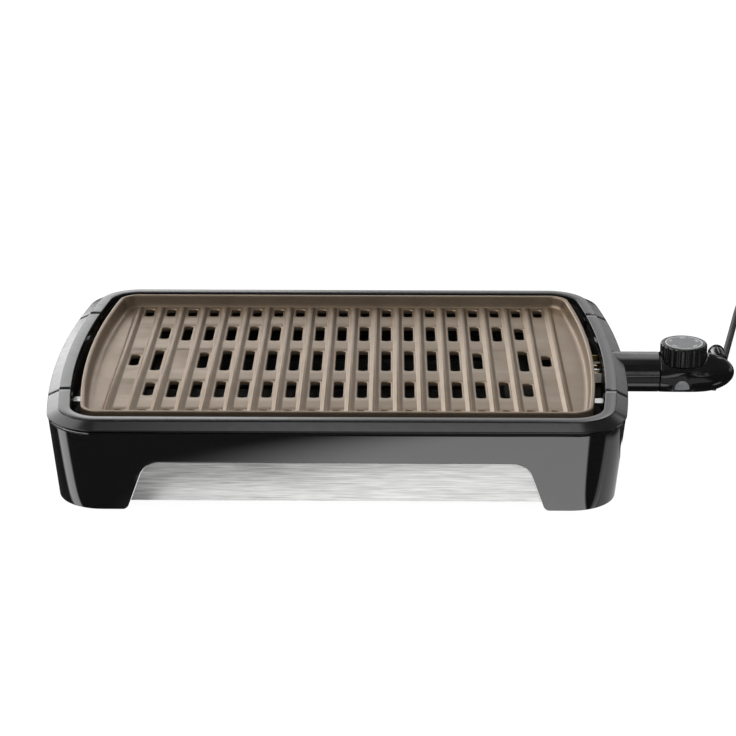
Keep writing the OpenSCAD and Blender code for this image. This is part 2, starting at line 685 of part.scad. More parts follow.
// Front pad round the indicator: an upright round face with an arched top
module front_pad() {
    intersection() {
        rod_z([pad_x, 0, 0], pad_r, 100);
        translate([0, 0, pad_top - pad_arch_r]) rotate([-90, 0, 0]) translate([pad_x, 0, -40])
            cylinder(r = pad_arch_r, h = 40, $fn = 96);
        translate([pad_x - pad_r, 0, 0]) rotate([90, 0, 90]) linear_extrude(2*pad_r)
            polygon([[-6, probe_z - 16.5], [-pad_r - 1, probe_z - 11.8],
                [-pad_r - 1, pad_top + 1], [-6, pad_top + 1]]);
        block([head_x0, -pad_r - 1, 0], [head_x2, 0, 100]);
    }
}

module lens_hole(gap, y0, y1) {
    n = 12;
    translate([pad_x, y1, lens_z]) rotate([90, 0, 0]) linear_extrude(y1 - y0)
        polygon([for (i = [0:n]) [-(lens_w + gap)*cos(180*i/n), -gap + (lens_h + 2*gap)*sin(180*i/n)]]);
}

module head_shell() {
    difference() {
        union() {
            difference() {
                head_solid(0);
                rod_z([dial_x, 0, deck_z], dial_clear, 40);
            }
            front_pad();
            rod_y([cord_x, 6, cord_z], cord_boss_r, cord_boss_y - 6);
            rod_y([cord_x, cord_boss_y - 2.4, cord_z], cord_boss_r + 0.8, 2.4);
        }
        difference() {
            head_solid(shell_t);
            rod_z([dial_x, 0, deck_z - shell_t], dial_clear + shell_t, 40);
            for (x = column_x) rod_z([x, 0, 0], 2.8, 100);
        }
        rod_y([cord_x, 0, cord_z], relief_r + 0.1, 40);
        rod_z([dial_x, 0, 50], shaft_r + run_gap, 30);
        lens_hole(fit_gap, -40, -8);
        for (x = column_x) {
            rod_z([x, 0, 0], 2.7, probe_z - head_r + 2.4);
            rod_z([x, 0, 0], 1.2, probe_z - 3);
        }
        block([head_x0 - 2, -40, cover_z - 0.05], [head_x2 + 2, 40, cover_z + 0.05]);
    }
}

module head_upper() {
    color("#19191b") placed() intersection() {
        head_shell();
        block([head_x0, -50, cover_z], [head_x2, 50, 100]);
    }
}
module head_bottom() {
    color("#19191b") placed() intersection() {
        head_shell();
        block([head_x0, -50, 0], [head_x2, 50, cover_z]);
    }
}
module head_screws() {
    z = probe_z - head_r + 2.4;
    color("silver") placed() for (x = column_x) {
        rod_z([x, 0, z - 1.6], 2.5, 1.6);
        rod_z([x, 0, z - 1], 1.1, 11);
    }
}

module nose_sleeve() {
    color("#19191b") placed() difference() {
        union() {
            rod_x([nose_x0, 0, probe_z], nose_r, nose_x1 - nose_x0);
            rod_x([nose_x1 - 2, 0, probe_z], head_r - shell_t - 0.2, 6);
        }
        rod_x([nose_x0 - 1, 0, probe_z], nose_r - shell_t, nose_x1 - nose_x0 - 2);
        rod_x([nose_x1 - 4, 0, probe_z], head_r - shell_t - 2, 12);
        block([nose_x1, -30, deck_z - shell_t - 0.3], [nose_x1 + 10, 30, 100]);
    }
}

// ---- Contacts and sensor ----
fork_gap = 0.2;
fork_t = 0.8;
fork_out = pin_r + fork_gap + fork_t;
fork_x0 = end_x + 5;
trough_x0 = fork_x0 - 0.6;
block_x0 = nose_x0 + 1.4;
block_x1 = block_x0 + 8;
block_r = nose_r - shell_t - 0.1;
trough_x1 = block_x0 + 1;
fork_x1 = block_x1 + 4;
tail_x = fork_x1 + 18;
trough_low = probe_z - fork_out - 1.4;
blade_z = probe_z + sensor_r + 0.05;

module contact_block() {
    wall = 1.4;
    color("#cfc9bb") placed() difference() {
        union() {
            rod_x([block_x0, 0, probe_z], block_r, block_x1 - block_x0);
            intersection() {
                union() {
                    block([trough_x0, -trough_y, trough_low], [trough_x1, trough_y, trough_low + wall - 0.05]);
                    for (s = [-1, 1]) flip(1, s) {
                        block([trough_x0, trough_y - wall, trough_low], [trough_x1, trough_y, probe_z + 3.5]);
                        block([trough_x0, pin_pitch/2 - fork_out - 1.3, trough_low],
                            [trough_x1, pin_pitch/2 - fork_out - 0.1, probe_z - 1]);
                    }
                }
                union() {
                    block([trough_x0, -trough_y, trough_low], [nose_x0 - fit_gap, trough_y, probe_z + 3.5]);
                    rod_x([nose_x0 - 1, 0, probe_z], block_r, 5);
                }
            }
        }
        for (s = [-1, 1]) translate([0, s*pin_pitch/2, probe_z])
            block([block_x0 - 1, -fork_out - 0.05, -fork_out - 0.05],
                [block_x1 + 1, fork_out + 0.05, pin_r + 0.3]);
        rod_x([block_x0 - 1, 0, probe_z], sensor_r + 0.05, block_x1 - block_x0 + 2);
    }
}

module contact_forks() {
    color("#b08d4a") placed() for (s = [-1, 1]) translate([0, s*pin_pitch/2, probe_z]) {
        difference() {
            block([fork_x0, -fork_out, -fork_out], [fork_x1, fork_out, pin_r + 0.2]);
            block([fork_x0 - 1, fork_t - fork_out, fork_t - fork_out], [fork_x1 + 1, fork_out - fork_t, 10]);
        }
        block([fork_x1 - 1, -2.5, -fork_out], [tail_x, 2.5, fork_t - fork_out]);
    }
}

module sensor_rod() {
    color("#c8c8c8") placed() {
        rod_x([boss_end - 9.4, 0, probe_z], sensor_r, block_x1 + 16 - boss_end + 9.4);
    }
}

module bimetal_blade() {
    color("#b3a07a") placed() block([block_x1 + 1, -4, blade_z], [dial_x - 7, 4, blade_z + 1]);
}

module thermostat_stack() {
    floor_in = probe_z - sqrt(pow(head_r - shell_t, 2) - 9) + 0.1;
    x0 = head_x0 + 7;
    color("#d8d2c4") placed() {
        block([x0, -5, probe_z - 9], [x0 + 7, 5, blade_z - 0.05]);
        block([x0 + 1, -3, floor_in], [x0 + 6, 3, probe_z - 8]);
        block([x0 + 2, -3, probe_z - 2], [dial_x + 5, 3, probe_z - 1.2]);
    }
}

// A tube along a path of points, with a radius for each point
function unit(v) = v/norm(v);
function heading(path, i) = unit(path[min(i + 1, len(path) - 1)] - path[max(i - 1, 0)]);
function across(h) = unit(cross(h, abs(h[2]) > 0.9 ? [0, 1, 0] : [0, 0, 1]));
module tube(path, radii, sides = 10) {
    n = len(path);
    points = [for (i = [0:n - 1]) let (h = heading(path, i), u = across(h), v = cross(h, u))
        for (k = [0:sides - 1]) let (a = 360*k/sides) path[i] + radii[i]*(cos(a)*u + sin(a)*v)];
    faces = concat([[for (k = [0:sides - 1]) k]],
        [for (i = [0:n - 2]) for (k = [0:sides - 1]) let (a = i*sides + k, b = i*sides + (k + 1)%sides)
            each [[a, b + sides, b], [a, a + sides, b + sides]]],
        [[for (k = [sides - 1:-1:0]) (n - 1)*sides + k]]);
    polyhedron(points, faces);
}
function constant(r, n) = [for (i = [1:n]) r];

module supply_leads() {
    y = pin_pitch/2;
    z = probe_z - fork_out + fork_t + 1.15;
    x = cord_x - 1.4;
    right = [[tail_x - 6, y, z], [tail_x + 10, y, z], [dial_x + 12, y - 1, z], [dial_x + 24, y - 0.7, z + 0.6],
        [x + 2.8, 6.5, cord_z - 4.5], [x + 2.8, 10, cord_z - 0.7], [x + 2.8, 16, cord_z],
        [x + 2.8, relief_y0 - 0.1, cord_z]];
    left = [[tail_x - 6, -y, z], [tail_x + 10, -y, z], [dial_x + 12, 1 - y, z], [dial_x + 19.5, -4, z + 0.6],
        [dial_x + 21, 2.5, z + 3], [dial_x + 27, 5, z + 7], [x - 0.1, 7.5, cord_z - 1.5], [x, 10, cord_z - 0.3],
        [x, 16, cord_z], [x, relief_y0 - 0.1, cord_z]];
    color("#7a2f2a") placed() for (path = [right, left]) tube(path, constant(1.1, len(path)), 8);
}

module indicator_lens() {
    color("#9a9a9a") placed() intersection() {
        lens_hole(0, -pad_r - 0.1, -13.5);
        rod_z([pad_x, 0, 0], pad_r - 0.15, 100);
    }
}
module indicator_lamp() {
    color("#d98a5a") placed() {
        rod_x([pad_x - 4.5, -10.4, lens_z + 3], 2.2, 8);
        translate([pad_x - 4.5, -10.4, lens_z + 3]) sphere(r = 2.2);
        for (dy = [-0.8, 0.8]) rod_x([pad_x + 3.4, -10.4 + dy, lens_z + 3], 0.35, 8);
    }
}

// ---- Dial ----
dial_low = deck_z + 0.6;
face_r = dial_r - 3.6;
face_t = 1;
flutes = 22;
module dial_knob() {
    color("#1c1c1e") placed() translate([dial_x, 0, 0]) difference() {
        union() {
            difference() {
                rod_z([0, 0, dial_low], dial_r, dial_top - dial_low - 1);
                rod_z([0, 0, dial_low - 1], dial_r - 3, dial_top - dial_low - 3);
                for (i = [0:flutes - 1]) rotate([0, 0, (i + 0.5)*360/flutes])
                    rod_z([dial_r + 0.9, 0, dial_low - 1], 1.8, 40);
            }
            rod_z([0, 0, dial_top - 3.2], dial_r - 1.3, 3.2);
            rod_z([0, 0, dial_low], 5.6, dial_top - dial_low - 2);
        }
        rod_z([0, 0, dial_low - 1], shaft_r + 0.03, dial_top - dial_low - 4);
        rod_z([0, 0, dial_top - face_t], face_r + 0.1, 5);
    }
}
module dial_face() {
    color("#6e6e70") placed() rod_z([dial_x, 0, dial_top - face_t], face_r, face_t);
}
module dial_shaft() {
    color("#b5b5b5") placed() difference() {
        rod_z([dial_x, 0, probe_z - 1], shaft_r, dial_top - 6 - probe_z);
        difference() {
            rod_z([dial_x, 0, deck_z - shell_t - 1.1], 10, 0.8);
            rod_z([dial_x, 0, deck_z - shell_t - 2], shaft_r - 0.6, 3);
        }
    }
}
module shaft_clip() {
    color("#8a8a8a") placed() difference() {
        rod_z([dial_x, 0, deck_z - shell_t - 1], shaft_r + 2.4, 0.6);
        rod_z([dial_x, 0, deck_z - shell_t - 2], shaft_r - 0.55, 3);
        block([dial_x, -shaft_r + 0.7, deck_z - 5], [dial_x + 20, shaft_r - 0.7, deck_z]);
    }
}

// ---- Mains cord, in the part's own frame ----
relief_y0 = 20;
relief_r = 4.3;
cord_r = cord_d/2;
cord_shift = cord_x - centre_x - 282.5;    // the cord's pieces keep with the head
relief_route = [[282.5, 20, 66.5], [282.5, 27.2, 66.5], [282.6, 30, 66.2], [282.9, 34, 64.6], [283.5, 38, 61.6],
    [284.4, 42, 57.4], [285.5, 46, 52]];
cord_route = [[285.6, 46.2, 51.7], [287.6, 53, 44], [289.9, 61.5, 35.5], [292.2, 71, 27], [294.4, 81.5, 19.2],
    [296.6, 93, 12.6], [299, 106, 7.6], [301.8, 121, 4.6], [305.5, 138, 3.4], [310.5, 160, 3.3], [317.3, 191, 3.3],
    [325, 224, 3.3], [332.5, 256, 3.3], [340, 288, 3.4], [347.2, 319, 3.6], [354.8, 349, 3.9], [361.8, 373, 4],
    [366.4, 386, 4], [367.6, 391.7, 4]];
coil_centre = [406, 398];
coil_low = 4;                         // height of the first turn's middle; the second lies on top of it
coil_high = coil_low + cord_d + 0.1;
tail_route = [[444.4, 391.9, 10.5], [444, 384, 10.5], [442.6, 374, 10.4], [440, 364, 9.2], [437, 356, 8],
    [435, 349, 7.6], [434.6, 344, 7.6]];

module cord_relief() {
    radii = [relief_r, relief_r, 5.4, 5.1, 4.8, 4.5, 4.2];
    color("#1a1a1a") translate([cord_shift, 0, 0]) tube(relief_route, radii, 14);
}
// Rounds the route between its hand-placed points
function smooth_route(p) = let (n = len(p)) concat([for (i = [0:n - 2]) for (t = [0, 0.5])
    let (a = p[max(i - 1, 0)], b = p[i], c = p[i + 1], d = p[min(i + 2, n - 1)])
    0.5*(2*b + (c - a)*t + (2*a - 5*b + 4*c - d)*t*t + (3*b - a - 3*c + d)*t*t*t)], [p[n - 1]]);
module cord_run() {
    route = smooth_route(cord_route);
    color("#161616") translate([cord_shift, 0, 0]) tube(route, constant(cord_r, len(route)), 10);
}
// One and a half turns, on top of each other from the second half turn on
module cord_coil() {
    c = coil_centre;
    function height(a) = let (t = max(0, min(1, (a + 15)/-130)))
        coil_low + (coil_high - coil_low)*t*t*(3 - 2*t);
    route = concat([[c[0] - coil_r, c[1] - 6, coil_low]],
        [for (a = [180:-15:-360]) [c[0] + coil_r*cos(a), c[1] + coil_r*sin(a), height(a)]],
        [[c[0] + coil_r, c[1] - 6, coil_high]]);
    color("#161616") translate([cord_shift, 0, 0]) tube(route, constant(cord_r, len(route)), 12);
}
module cord_tail() {
    route = smooth_route(tail_route);
    color("#161616") translate([cord_shift, 0, 0]) tube(route, constant(cord_r, len(route)), 10);
}
tie_t = 0.7;
tie_w = 5;
module cord_tie() {
    r = coil_r;
    d = cord_r + 0.15;
    color("#3a3a3a") translate([coil_centre[0] + cord_shift, coil_centre[1] + r, 0]) difference() {
        translate([-tie_w/2, -d - tie_t, 0]) cube([tie_w, 2*(d + tie_t), coil_high + d + tie_t]);
        translate([-tie_w, -d - 0.2, coil_low - d]) cube([2*tie_w, 2*d + 0.3, coil_high - coil_low + 2*d]);
    }
}

// Two-blade mains plug, lying flat beside the coil
plug_w = 23;
plug_h = 15;
plug_l = 28;
blade_pitch = 12.7;
module plug_body() {
    p = tail_route[len(tail_route) - 1];
    y1 = p[1];
    y0 = y1 - 9;
    color("#161616") translate([cord_shift, 0, 0]) {
        hull() {
            translate([p[0], y1 - 0.3, p[2]]) rotate([90, 0, 0]) cylinder(r = 4.2, h = 0.1, $fn = 24);
            translate([p[0], y0, p[2]]) rotate([90, 0, 0]) cylinder(r = 5.6, h = 0.1, $fn = 24);
        }
        hull() for (sx = [-1, 1], sz = [-1, 1], end = [[y0, 2.6], [y0 - plug_l + 3, 1.2], [y0 - plug_l, 1.8]])
            translate([p[0] + sx*(plug_w/2 - 3.4 - (end[1] - 1.2)), end[0],
                p[2] + sz*(plug_h/2 - 3.4 - (end[1] - 1.2))])
                rotate([90, 0, 0]) cylinder(r = 3.4, h = 0.1, $fn = 24);
    }
}
module plug_blades() {
    p = tail_route[len(tail_route) - 1];
    y0 = p[1] - 9 - plug_l - 0.1;
    color("silver") for (s = [-1, 1]) translate([p[0] + cord_shift + s*blade_pitch/2, y0, p[2]]) difference() {
        block([-0.75, -16.2, -3.1], [0.75, 0, 3.1]);
        translate([-2, -12.5, 0]) rotate([0, 90, 0]) cylinder(r = 1.6, h = 4);
    }
}

base_shell();
front_rim();
back_rim();
left_handle();
right_handle();
inner_frame();
plate_rests();
rest_screws();
seam_clips();
rim_screws();
tray_rails();
rail_screws();
rubber_feet();
grill_plate();
heating_element();
end_seals();
terminal_pins();
terminal_bracket();
bracket_screws();
drip_pan();
tray_front();
nose_sleeve();
head_upper();
head_bottom();
head_screws();
contact_block();
contact_forks();
sensor_rod();
thermostat_stack();
bimetal_blade();
supply_leads();
indicator_lens();
indicator_lamp();
cord_relief();
cord_run();
cord_coil();
cord_tail();
cord_tie();
plug_body();
plug_blades();
dial_knob();
dial_face();
dial_shaft();
shaft_clip();
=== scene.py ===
# Electric open-grate grill: lift-out cast plate, slide-out drip tray, plug-in heat control with its cord.
import math
import bmesh
import bpy
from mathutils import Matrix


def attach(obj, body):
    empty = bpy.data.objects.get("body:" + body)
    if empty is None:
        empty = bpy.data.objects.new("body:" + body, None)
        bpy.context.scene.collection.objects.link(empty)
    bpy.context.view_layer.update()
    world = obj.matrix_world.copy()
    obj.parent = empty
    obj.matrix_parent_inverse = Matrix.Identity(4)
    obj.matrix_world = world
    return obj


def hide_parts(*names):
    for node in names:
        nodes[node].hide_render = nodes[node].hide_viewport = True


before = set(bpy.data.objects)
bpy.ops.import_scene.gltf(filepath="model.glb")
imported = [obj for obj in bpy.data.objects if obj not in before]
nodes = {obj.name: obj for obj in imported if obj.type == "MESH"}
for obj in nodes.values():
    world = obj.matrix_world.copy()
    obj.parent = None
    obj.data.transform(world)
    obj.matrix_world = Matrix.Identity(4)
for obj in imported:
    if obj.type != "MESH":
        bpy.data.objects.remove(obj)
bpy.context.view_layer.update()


# ---- Camera ----
# It stands in front of the grill's middle, a little under two metres away, and looks down by twenty
# degrees. Its long lens keeps the grill's sides nearly parallel.
bpy.ops.object.camera_add(location=(-0.00606, -1.79757, 0.71817),
                          rotation=(math.radians(69.898), 0, math.radians(0.600)))
camera = bpy.context.object
camera.data.lens = 107.0
camera.data.sensor_width = 36.0
camera.data.clip_start = 0.05
camera.data.clip_end = 50
bpy.context.scene.camera = camera


# ---- Mains cord ----
# PVC-sheathed flex, 6.4 mm thick, black with a satin skin. It leaves the bend relief behind the heat
# control, drops to the table, and its spare length is wound into a tied coil beside the plug.
def linear(code):
    """A colour written as sRGB hex, in the linear values that shaders take."""
    parts = [int(code[i:i + 2], 16) / 255 for i in (1, 3, 5)]
    return tuple(p / 12.92 if p <= 0.04045 else ((p + 0.055) / 1.055) ** 2.4 for p in parts) + (1.0,)


def add(tree, kind, inputs=None, stops=(), **settings):
    """Adds one shader node with its settings. Inputs are values, sRGB hex colours, or the sockets that feed
    them; a colour ramp's stops are (position, hex colour or grey)."""
    node = tree.nodes.new(kind)
    for name, value in settings.items():
        setattr(node, name, value)
    for name, value in (inputs or {}).items():
        value = getattr(value, "socket", value)
        if isinstance(value, bpy.types.NodeSocket):
            tree.links.new(value, node.inputs[name])
        else:
            node.inputs[name].default_value = linear(value) if isinstance(value, str) else value
    for _ in stops[2:]:
        node.color_ramp.elements.new(0.5)
    for i, (position, colour) in enumerate(stops):
        point = node.color_ramp.elements[i]
        point.position = position
        point.color = linear(colour) if isinstance(colour, str) else (colour, colour, colour, 1)
    return node


class Value:
    """A number in a shader: arithmetic on it adds the maths nodes that work it out."""

    def __init__(self, socket):
        self.socket, self.tree = socket, socket.id_data

    def maths(self, operation, other=0.0):
        return Value(add(self.tree, "ShaderNodeMath", {0: self, 1: other}, operation=operation).outputs[0])

    def __add__(self, other):
        return self.maths("ADD", other)

    def __sub__(self, other):
        return self.maths("SUBTRACT", other)

    def __rsub__(self, other):
        return self.maths("MULTIPLY", -1.0) + other

    def __mul__(self, other):
        return self.maths("MULTIPLY", other)

    def __truediv__(self, other):
        return self.maths("DIVIDE", other)

    def rise(self, low, high):
        """0 as far as low, 1 from high on, and a soft edge between them; low may be the greater."""
        return Value(add(self.tree, "ShaderNodeMapRange", {"Value": self, "From Min": low, "From Max": high},
                         interpolation_type="SMOOTHSTEP").outputs["Result"])

    def band(self, start, full, fade, end):
        """0 outside start to end, 1 from full to fade."""
        return self.rise(start, full) * self.rise(end, fade)

    def between(self, low, high):
        """low where this is 0, high where it is 1."""
        return self * high + (1.0 - self) * low


def surface(name, **values):
    """A new material with its Principled shader; values are uniform and set on the shader's sockets."""
    mat = bpy.data.materials.new(name)
    mat.use_nodes = True
    tree = mat.node_tree
    tree.nodes.clear()
    shader = add(tree, "ShaderNodeBsdfPrincipled", {k.replace("_", " "): v for k, v in values.items()})
    add(tree, "ShaderNodeOutputMaterial", {"Surface": shader.outputs["BSDF"]})
    return mat, shader


def noise(shader, scale, detail=3.0, stretch=(1, 1, 1)):
    """Noise on the piece's own coordinates; scale is in waves per metre."""
    tree = shader.id_data
    where = add(tree, "ShaderNodeTexCoord").outputs["Object"]
    if stretch != (1, 1, 1):
        where = add(tree, "ShaderNodeMapping", {"Vector": where, "Scale": stretch}).outputs["Vector"]
    return Value(add(tree, "ShaderNodeTexNoise", {"Vector": where, "Scale": scale, "Detail": detail,
                                                  "Roughness": 0.5}).outputs["Fac"])


def vary(shader, name, pattern, *stops):
    """Lets one of the shader's values follow a pattern, through a ramp, whose colour it returns."""
    colour = add(pattern.tree, "ShaderNodeValToRGB", {"Fac": pattern}, stops).outputs["Color"]
    pattern.tree.links.new(colour, shader.inputs[name])
    return colour


def roughen(shader, height, strength, distance):
    """A fine relief on the surface; distance is its depth in metres."""
    bump = add(height.tree, "ShaderNodeBump", {"Height": height, "Strength": strength, "Distance": distance})
    height.tree.links.new(bump.outputs["Normal"], shader.inputs["Normal"])


def dress(obj, mat, body, stands_for, slot, smooth=None):
    """Gives a finished piece its material, its body and the CAD nodes that it stands for."""
    obj.data.materials.clear()
    obj.data.materials.append(mat)
    if smooth:
        pick(obj)
        bpy.ops.object.shade_smooth_by_angle(angle=math.radians(smooth))
    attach(obj, body)
    if stands_for:
        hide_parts(*stands_for)


def pick(*objs):
    bpy.ops.object.select_all(action="DESELECT")
    for obj in objs:
        obj.select_set(True)
    bpy.context.view_layer.objects.active = objs[0]


def eased(points, steps=2):
    """A smooth line through given points."""
    line = []
    last = len(points) - 1
    for i in range(last):
        a, b, c, d = points[max(i - 1, 0)], points[i], points[i + 1], points[min(i + 2, last)]
        for s in range(steps):
            t = s / steps
            line.append([0.5 * (2 * q + (r - p) * t + (2 * p - 5 * q + 4 * r - w) * t * t
                                + (3 * q - p - 3 * r + w) * t ** 3) for p, q, r, w in zip(a, b, c, d)])
    return line + [list(points[last])]


def curve(name, dimensions, lines, closed=False):
    """A curve object with one straight-sided spline through each line's points."""
    data = bpy.data.curves.new(name, "CURVE")
    data.dimensions = dimensions
    for line in lines:
        spline = data.splines.new("POLY")
        spline.points.add(len(line) - 1)
        spline.use_cyclic_u = closed
        for knot, place in zip(spline.points, line):
            knot.co = (*place, 1)
    obj = bpy.data.objects.new(name, data)
    bpy.context.collection.objects.link(obj)
    return obj


def tube(name, points, radii, sides=6):
    """A round tube along points, as a curve of one open spline."""
    obj = curve(name, "3D", [points])
    obj.data.bevel_depth, obj.data.bevel_resolution, obj.data.use_fill_caps = max(radii), sides, True
    spline = obj.data.splines[0]
    for knot, radius in zip(spline.points, radii):
        knot.radius = radius / obj.data.bevel_depth
    spline.use_smooth = True
    return obj


cord_d = 0.0064
relief_end = (0.2855, 0.046, 0.052)
table_route = [relief_end, (0.2876, 0.053, 0.044), (0.2899, 0.0615, 0.0355), (0.2922, 0.071, 0.027),
               (0.2944, 0.0815, 0.0192), (0.2966, 0.093, 0.0126), (0.299, 0.106, 0.0076),
               (0.3018, 0.121, 0.0046), (0.3055, 0.138, 0.0034), (0.3105, 0.160, 0.0033),
               (0.3173, 0.191, 0.0033), (0.325, 0.224, 0.0033), (0.3325, 0.256, 0.0033),
               (0.340, 0.288, 0.0034), (0.3472, 0.319, 0.0036), (0.3548, 0.349, 0.0039),
               (0.3618, 0.373, 0.004), (0.3664, 0.386, 0.004), (0.3676, 0.3919, 0.004)]
coil_x, coil_y, coil_r, coil_low, coil_high = 0.406, 0.398, 0.0384, 0.004, 0.0105
plug_route = [(0.4444, 0.3919, 0.0105), (0.444, 0.384, 0.0105), (0.4426, 0.374, 0.0104),
              (0.440, 0.364, 0.0092), (0.437, 0.356, 0.008), (0.435, 0.349, 0.0076), (0.4346, 0.344, 0.0076)]
coil = []
for degrees in range(180, -361, -15):
    t = max(0.0, min(1.0, (degrees + 15) / -130))
    angle = math.radians(degrees)
    coil.append((coil_x + coil_r * math.cos(angle), coil_y + coil_r * math.sin(angle),
                 coil_low + (coil_high - coil_low) * t * t * (3 - 2 * t)))
cord_line = eased(table_route) + [list(p) for p in coil] + eased(plug_route)
cord = tube("mains_cord", cord_line, [cord_d / 2] * len(cord_line))

# Soft PVC: faint satin patches and fine handling dust
flex_pvc, shader = surface("flex_pvc_satin", Base_Color="#0c0c0d", Roughness=0.35, IOR=1.22)
dust = noise(shader, 180, detail=4)
vary(shader, "Base Color", dust, (0.3, "#0a0a0b"), (0.8, "#101011"))
vary(shader, "Roughness", dust, (0.2, 0.3), (0.8, 0.4))
roughen(shader, noise(shader, 900, detail=2), 0.12, 0.0002)
dress(cord, flex_pvc, "probe", ("cord_run", "cord_coil", "cord_tail"), "cord")


# ---- Studio ----
# A white table and white surroundings, with one large soft lamp behind the grill's left corner and a weak one
# in front. Gloss sees a bright room behind the grill, a dark one in front, and a painted dark patch on the
# table.
bpy.context.scene.view_settings.view_transform = "Standard"
room = bpy.data.worlds.new("white_room")
bpy.context.scene.world = room
room.use_nodes = True
tree = room.node_tree
tree.nodes.clear()
ray = add(tree, "ShaderNodeLightPath").outputs
direction = add(tree, "ShaderNodeTexCoord").outputs["Generated"]
look_x, look_y, look_z = map(Value, add(tree, "ShaderNodeSeparateXYZ", {"Vector": direction}).outputs)

# Near the horizon: a bright screen behind on the left, and less light from the right
sideways = look_x / look_y.maths("MAXIMUM", 0.05)
shifted = sideways + look_z.rise(0.25, 0.15) * 0.2
screen = shifted.band(-1.3, -0.7, -0.05, -0.015) * (look_z.rise(0.2, 0.05) * 0.6 + 1.7)
right_side = sideways.rise(0.2, 0.34) * (look_z.rise(0.25, 0.34) * 0.6 - 0.6)
beyond = sideways.rise(0.165, 0.20) * look_z.rise(0.265, 0.285)
horizon = screen + right_side + beyond * -1.2 + 1.4

# Higher up: a dark ceiling with a bright panel overhead, one over the control's nose and one at the far left
overhead = (look_x.band(-0.175, -0.05, 0.085, 0.11) * look_z.rise(0.76, 0.88)
            * (look_y.rise(0.03, 0.2) * 0.8 + 0.2) * look_y.rise(-0.55, -0.43))
over_nose = look_x.band(0.095, 0.11, 0.16, 0.2) * 1.4
dome_side = look_x.band(0.40, 0.45, 0.48, 0.52) * look_z.rise(0.62, 0.5)
over_nose = (over_nose + dome_side) * look_y.rise(-0.1, 0.36)
far_left = look_x.rise(-0.35, -0.39) * 1.2
ceiling = (overhead + over_nose + far_left) * 2.2 + 0.12
above = look_z.rise(0.385, 0.415)

# In front: dark, with two narrow strips that draw the light lines along the control's nose and head
nose_strip = look_x.band(0.085, 0.11, 0.128, 0.142) * look_z.band(-0.12, 0.12, 0.27, 0.38)
dome_strip = look_x.band(0.27, 0.31, 0.34, 0.4) * look_z.band(-0.03, 0.05, 0.14, 0.2)
front_glow = ((nose_strip + dome_strip * 0.6) * 2.6 + 0.08).maths("MAXIMUM", above * ceiling)
behind = look_y.rise(-0.08, 0.08)
gloss_glow = behind.between(front_glow, above.between(horizon, ceiling))
diffuse_glow = behind * 0.62 + 0.16
glow = Value(ray["Is Glossy Ray"]).between(diffuse_glow, gloss_glow)
white_room = Value(ray["Is Camera Ray"]).maths("MAXIMUM", ray["Is Transmission Ray"])
background = add(tree, "ShaderNodeBackground", {"Strength": white_room.between(glow, 1.0)})
add(tree, "ShaderNodeOutputWorld", {"Surface": background.outputs["Background"]})

table_top, shader = surface("white_table", Base_Color="#e6e6e6", Roughness=0.9)
tree = shader.id_data
ray = add(tree, "ShaderNodeLightPath").outputs
place = add(tree, "ShaderNodeTexCoord").outputs["Object"]
table_x, table_y, _ = map(Value, add(tree, "ShaderNodeSeparateXYZ", {"Vector": place}).outputs)

# Painted reflection: gloss rays see the table painted dark in front on the left, but for a strip that lights
# the tray's front
painted_dark_edge = table_x + table_y.maths("MINIMUM", -0.18) * 0.8 + 0.232
under_tray = table_x.rise(-0.208, -0.196) * table_y.band(-0.224, -0.214, -0.184, -0.178)
painted_dark = painted_dark_edge.rise(0.045, -0.150) * (1.0 - under_tray)


def corner_angle(side, x, y):
    """How far round a corner a place on the table lies: its distance in front, over its distance outwards."""
    return (y - table_y) / ((table_x - x) * side).maths("MAXIMUM", 0.001)


# Lighter places draw the highlights on the body's corners and under the control's nose and head
in_front = corner_angle(1, 0.140, -0.150).rise(1.35, 1.65)
left_gleam = corner_angle(-1, -0.250, -0.170).band(-0.34, -0.2, 0.1, 0.24)
under_control = table_x.rise(0.190, 0.205) * table_y.rise(-0.072, -0.064)
beside = (corner_angle(1, 0.152, -0.170).rise(0.28, 0.14) * table_x.band(0.140, 0.152, 0.30, 0.33)
          * (1.0 - under_control))
nose_gleam = table_x.band(0.190, 0.200, 0.234, 0.242) * table_y.band(-0.062, -0.050, -0.038, -0.026)
dome_gleam = table_x.band(0.298, 0.306, 0.322, 0.330) * table_y.band(-0.036, -0.032, -0.025, -0.021)
# The table's glow for gloss rays: the painted dark patch, with painted highlights over it
table_glow = (painted_dark * -1.46 + 1.5) * in_front
for gleam in (beside * 0.4, left_gleam * 1.5, (nose_gleam + dome_gleam) * 1.5, 0.03):
    table_glow = table_glow.maths("MAXIMUM", gleam)

# The camera sees the table nearly white, gloss sees the pattern, and all other light meets a white table
seen = add(tree, "ShaderNodeEmission", {"Strength": 1.13}).outputs["Emission"]
in_gloss = add(tree, "ShaderNodeEmission", {"Strength": table_glow}).outputs["Emission"]
look = shader.outputs["BSDF"]
shaded = add(tree, "ShaderNodeMixShader", {0: 0.86, 1: look, 2: seen}).outputs["Shader"]
for share, other in ((ray["Is Camera Ray"], shaded), (ray["Is Glossy Ray"], in_gloss)):
    look = add(tree, "ShaderNodeMixShader", {0: share, 1: look, 2: other}).outputs["Shader"]
output = next(n for n in tree.nodes if n.type == "OUTPUT_MATERIAL")
tree.links.new(look, output.inputs["Surface"])
bpy.ops.mesh.primitive_plane_add(size=12, location=(0, 0, 0))
table = bpy.context.object
table.name = "studio_table"
table.data.materials.append(table_top)


def soft_lamp(name, place, aim, width, height, power):
    bpy.ops.object.light_add(type="AREA", location=place)
    lamp = bpy.context.object
    lamp.name = name
    lamp.data.shape = "RECTANGLE"
    lamp.data.size, lamp.data.size_y, lamp.data.energy = width, height, power
    toward = [a - b for a, b in zip(aim, place)]
    flat = math.hypot(toward[0], toward[1])
    lamp.rotation_euler = (math.atan2(flat, -toward[2]), 0, math.atan2(-toward[0], toward[1]))
    lamp.visible_glossy = False


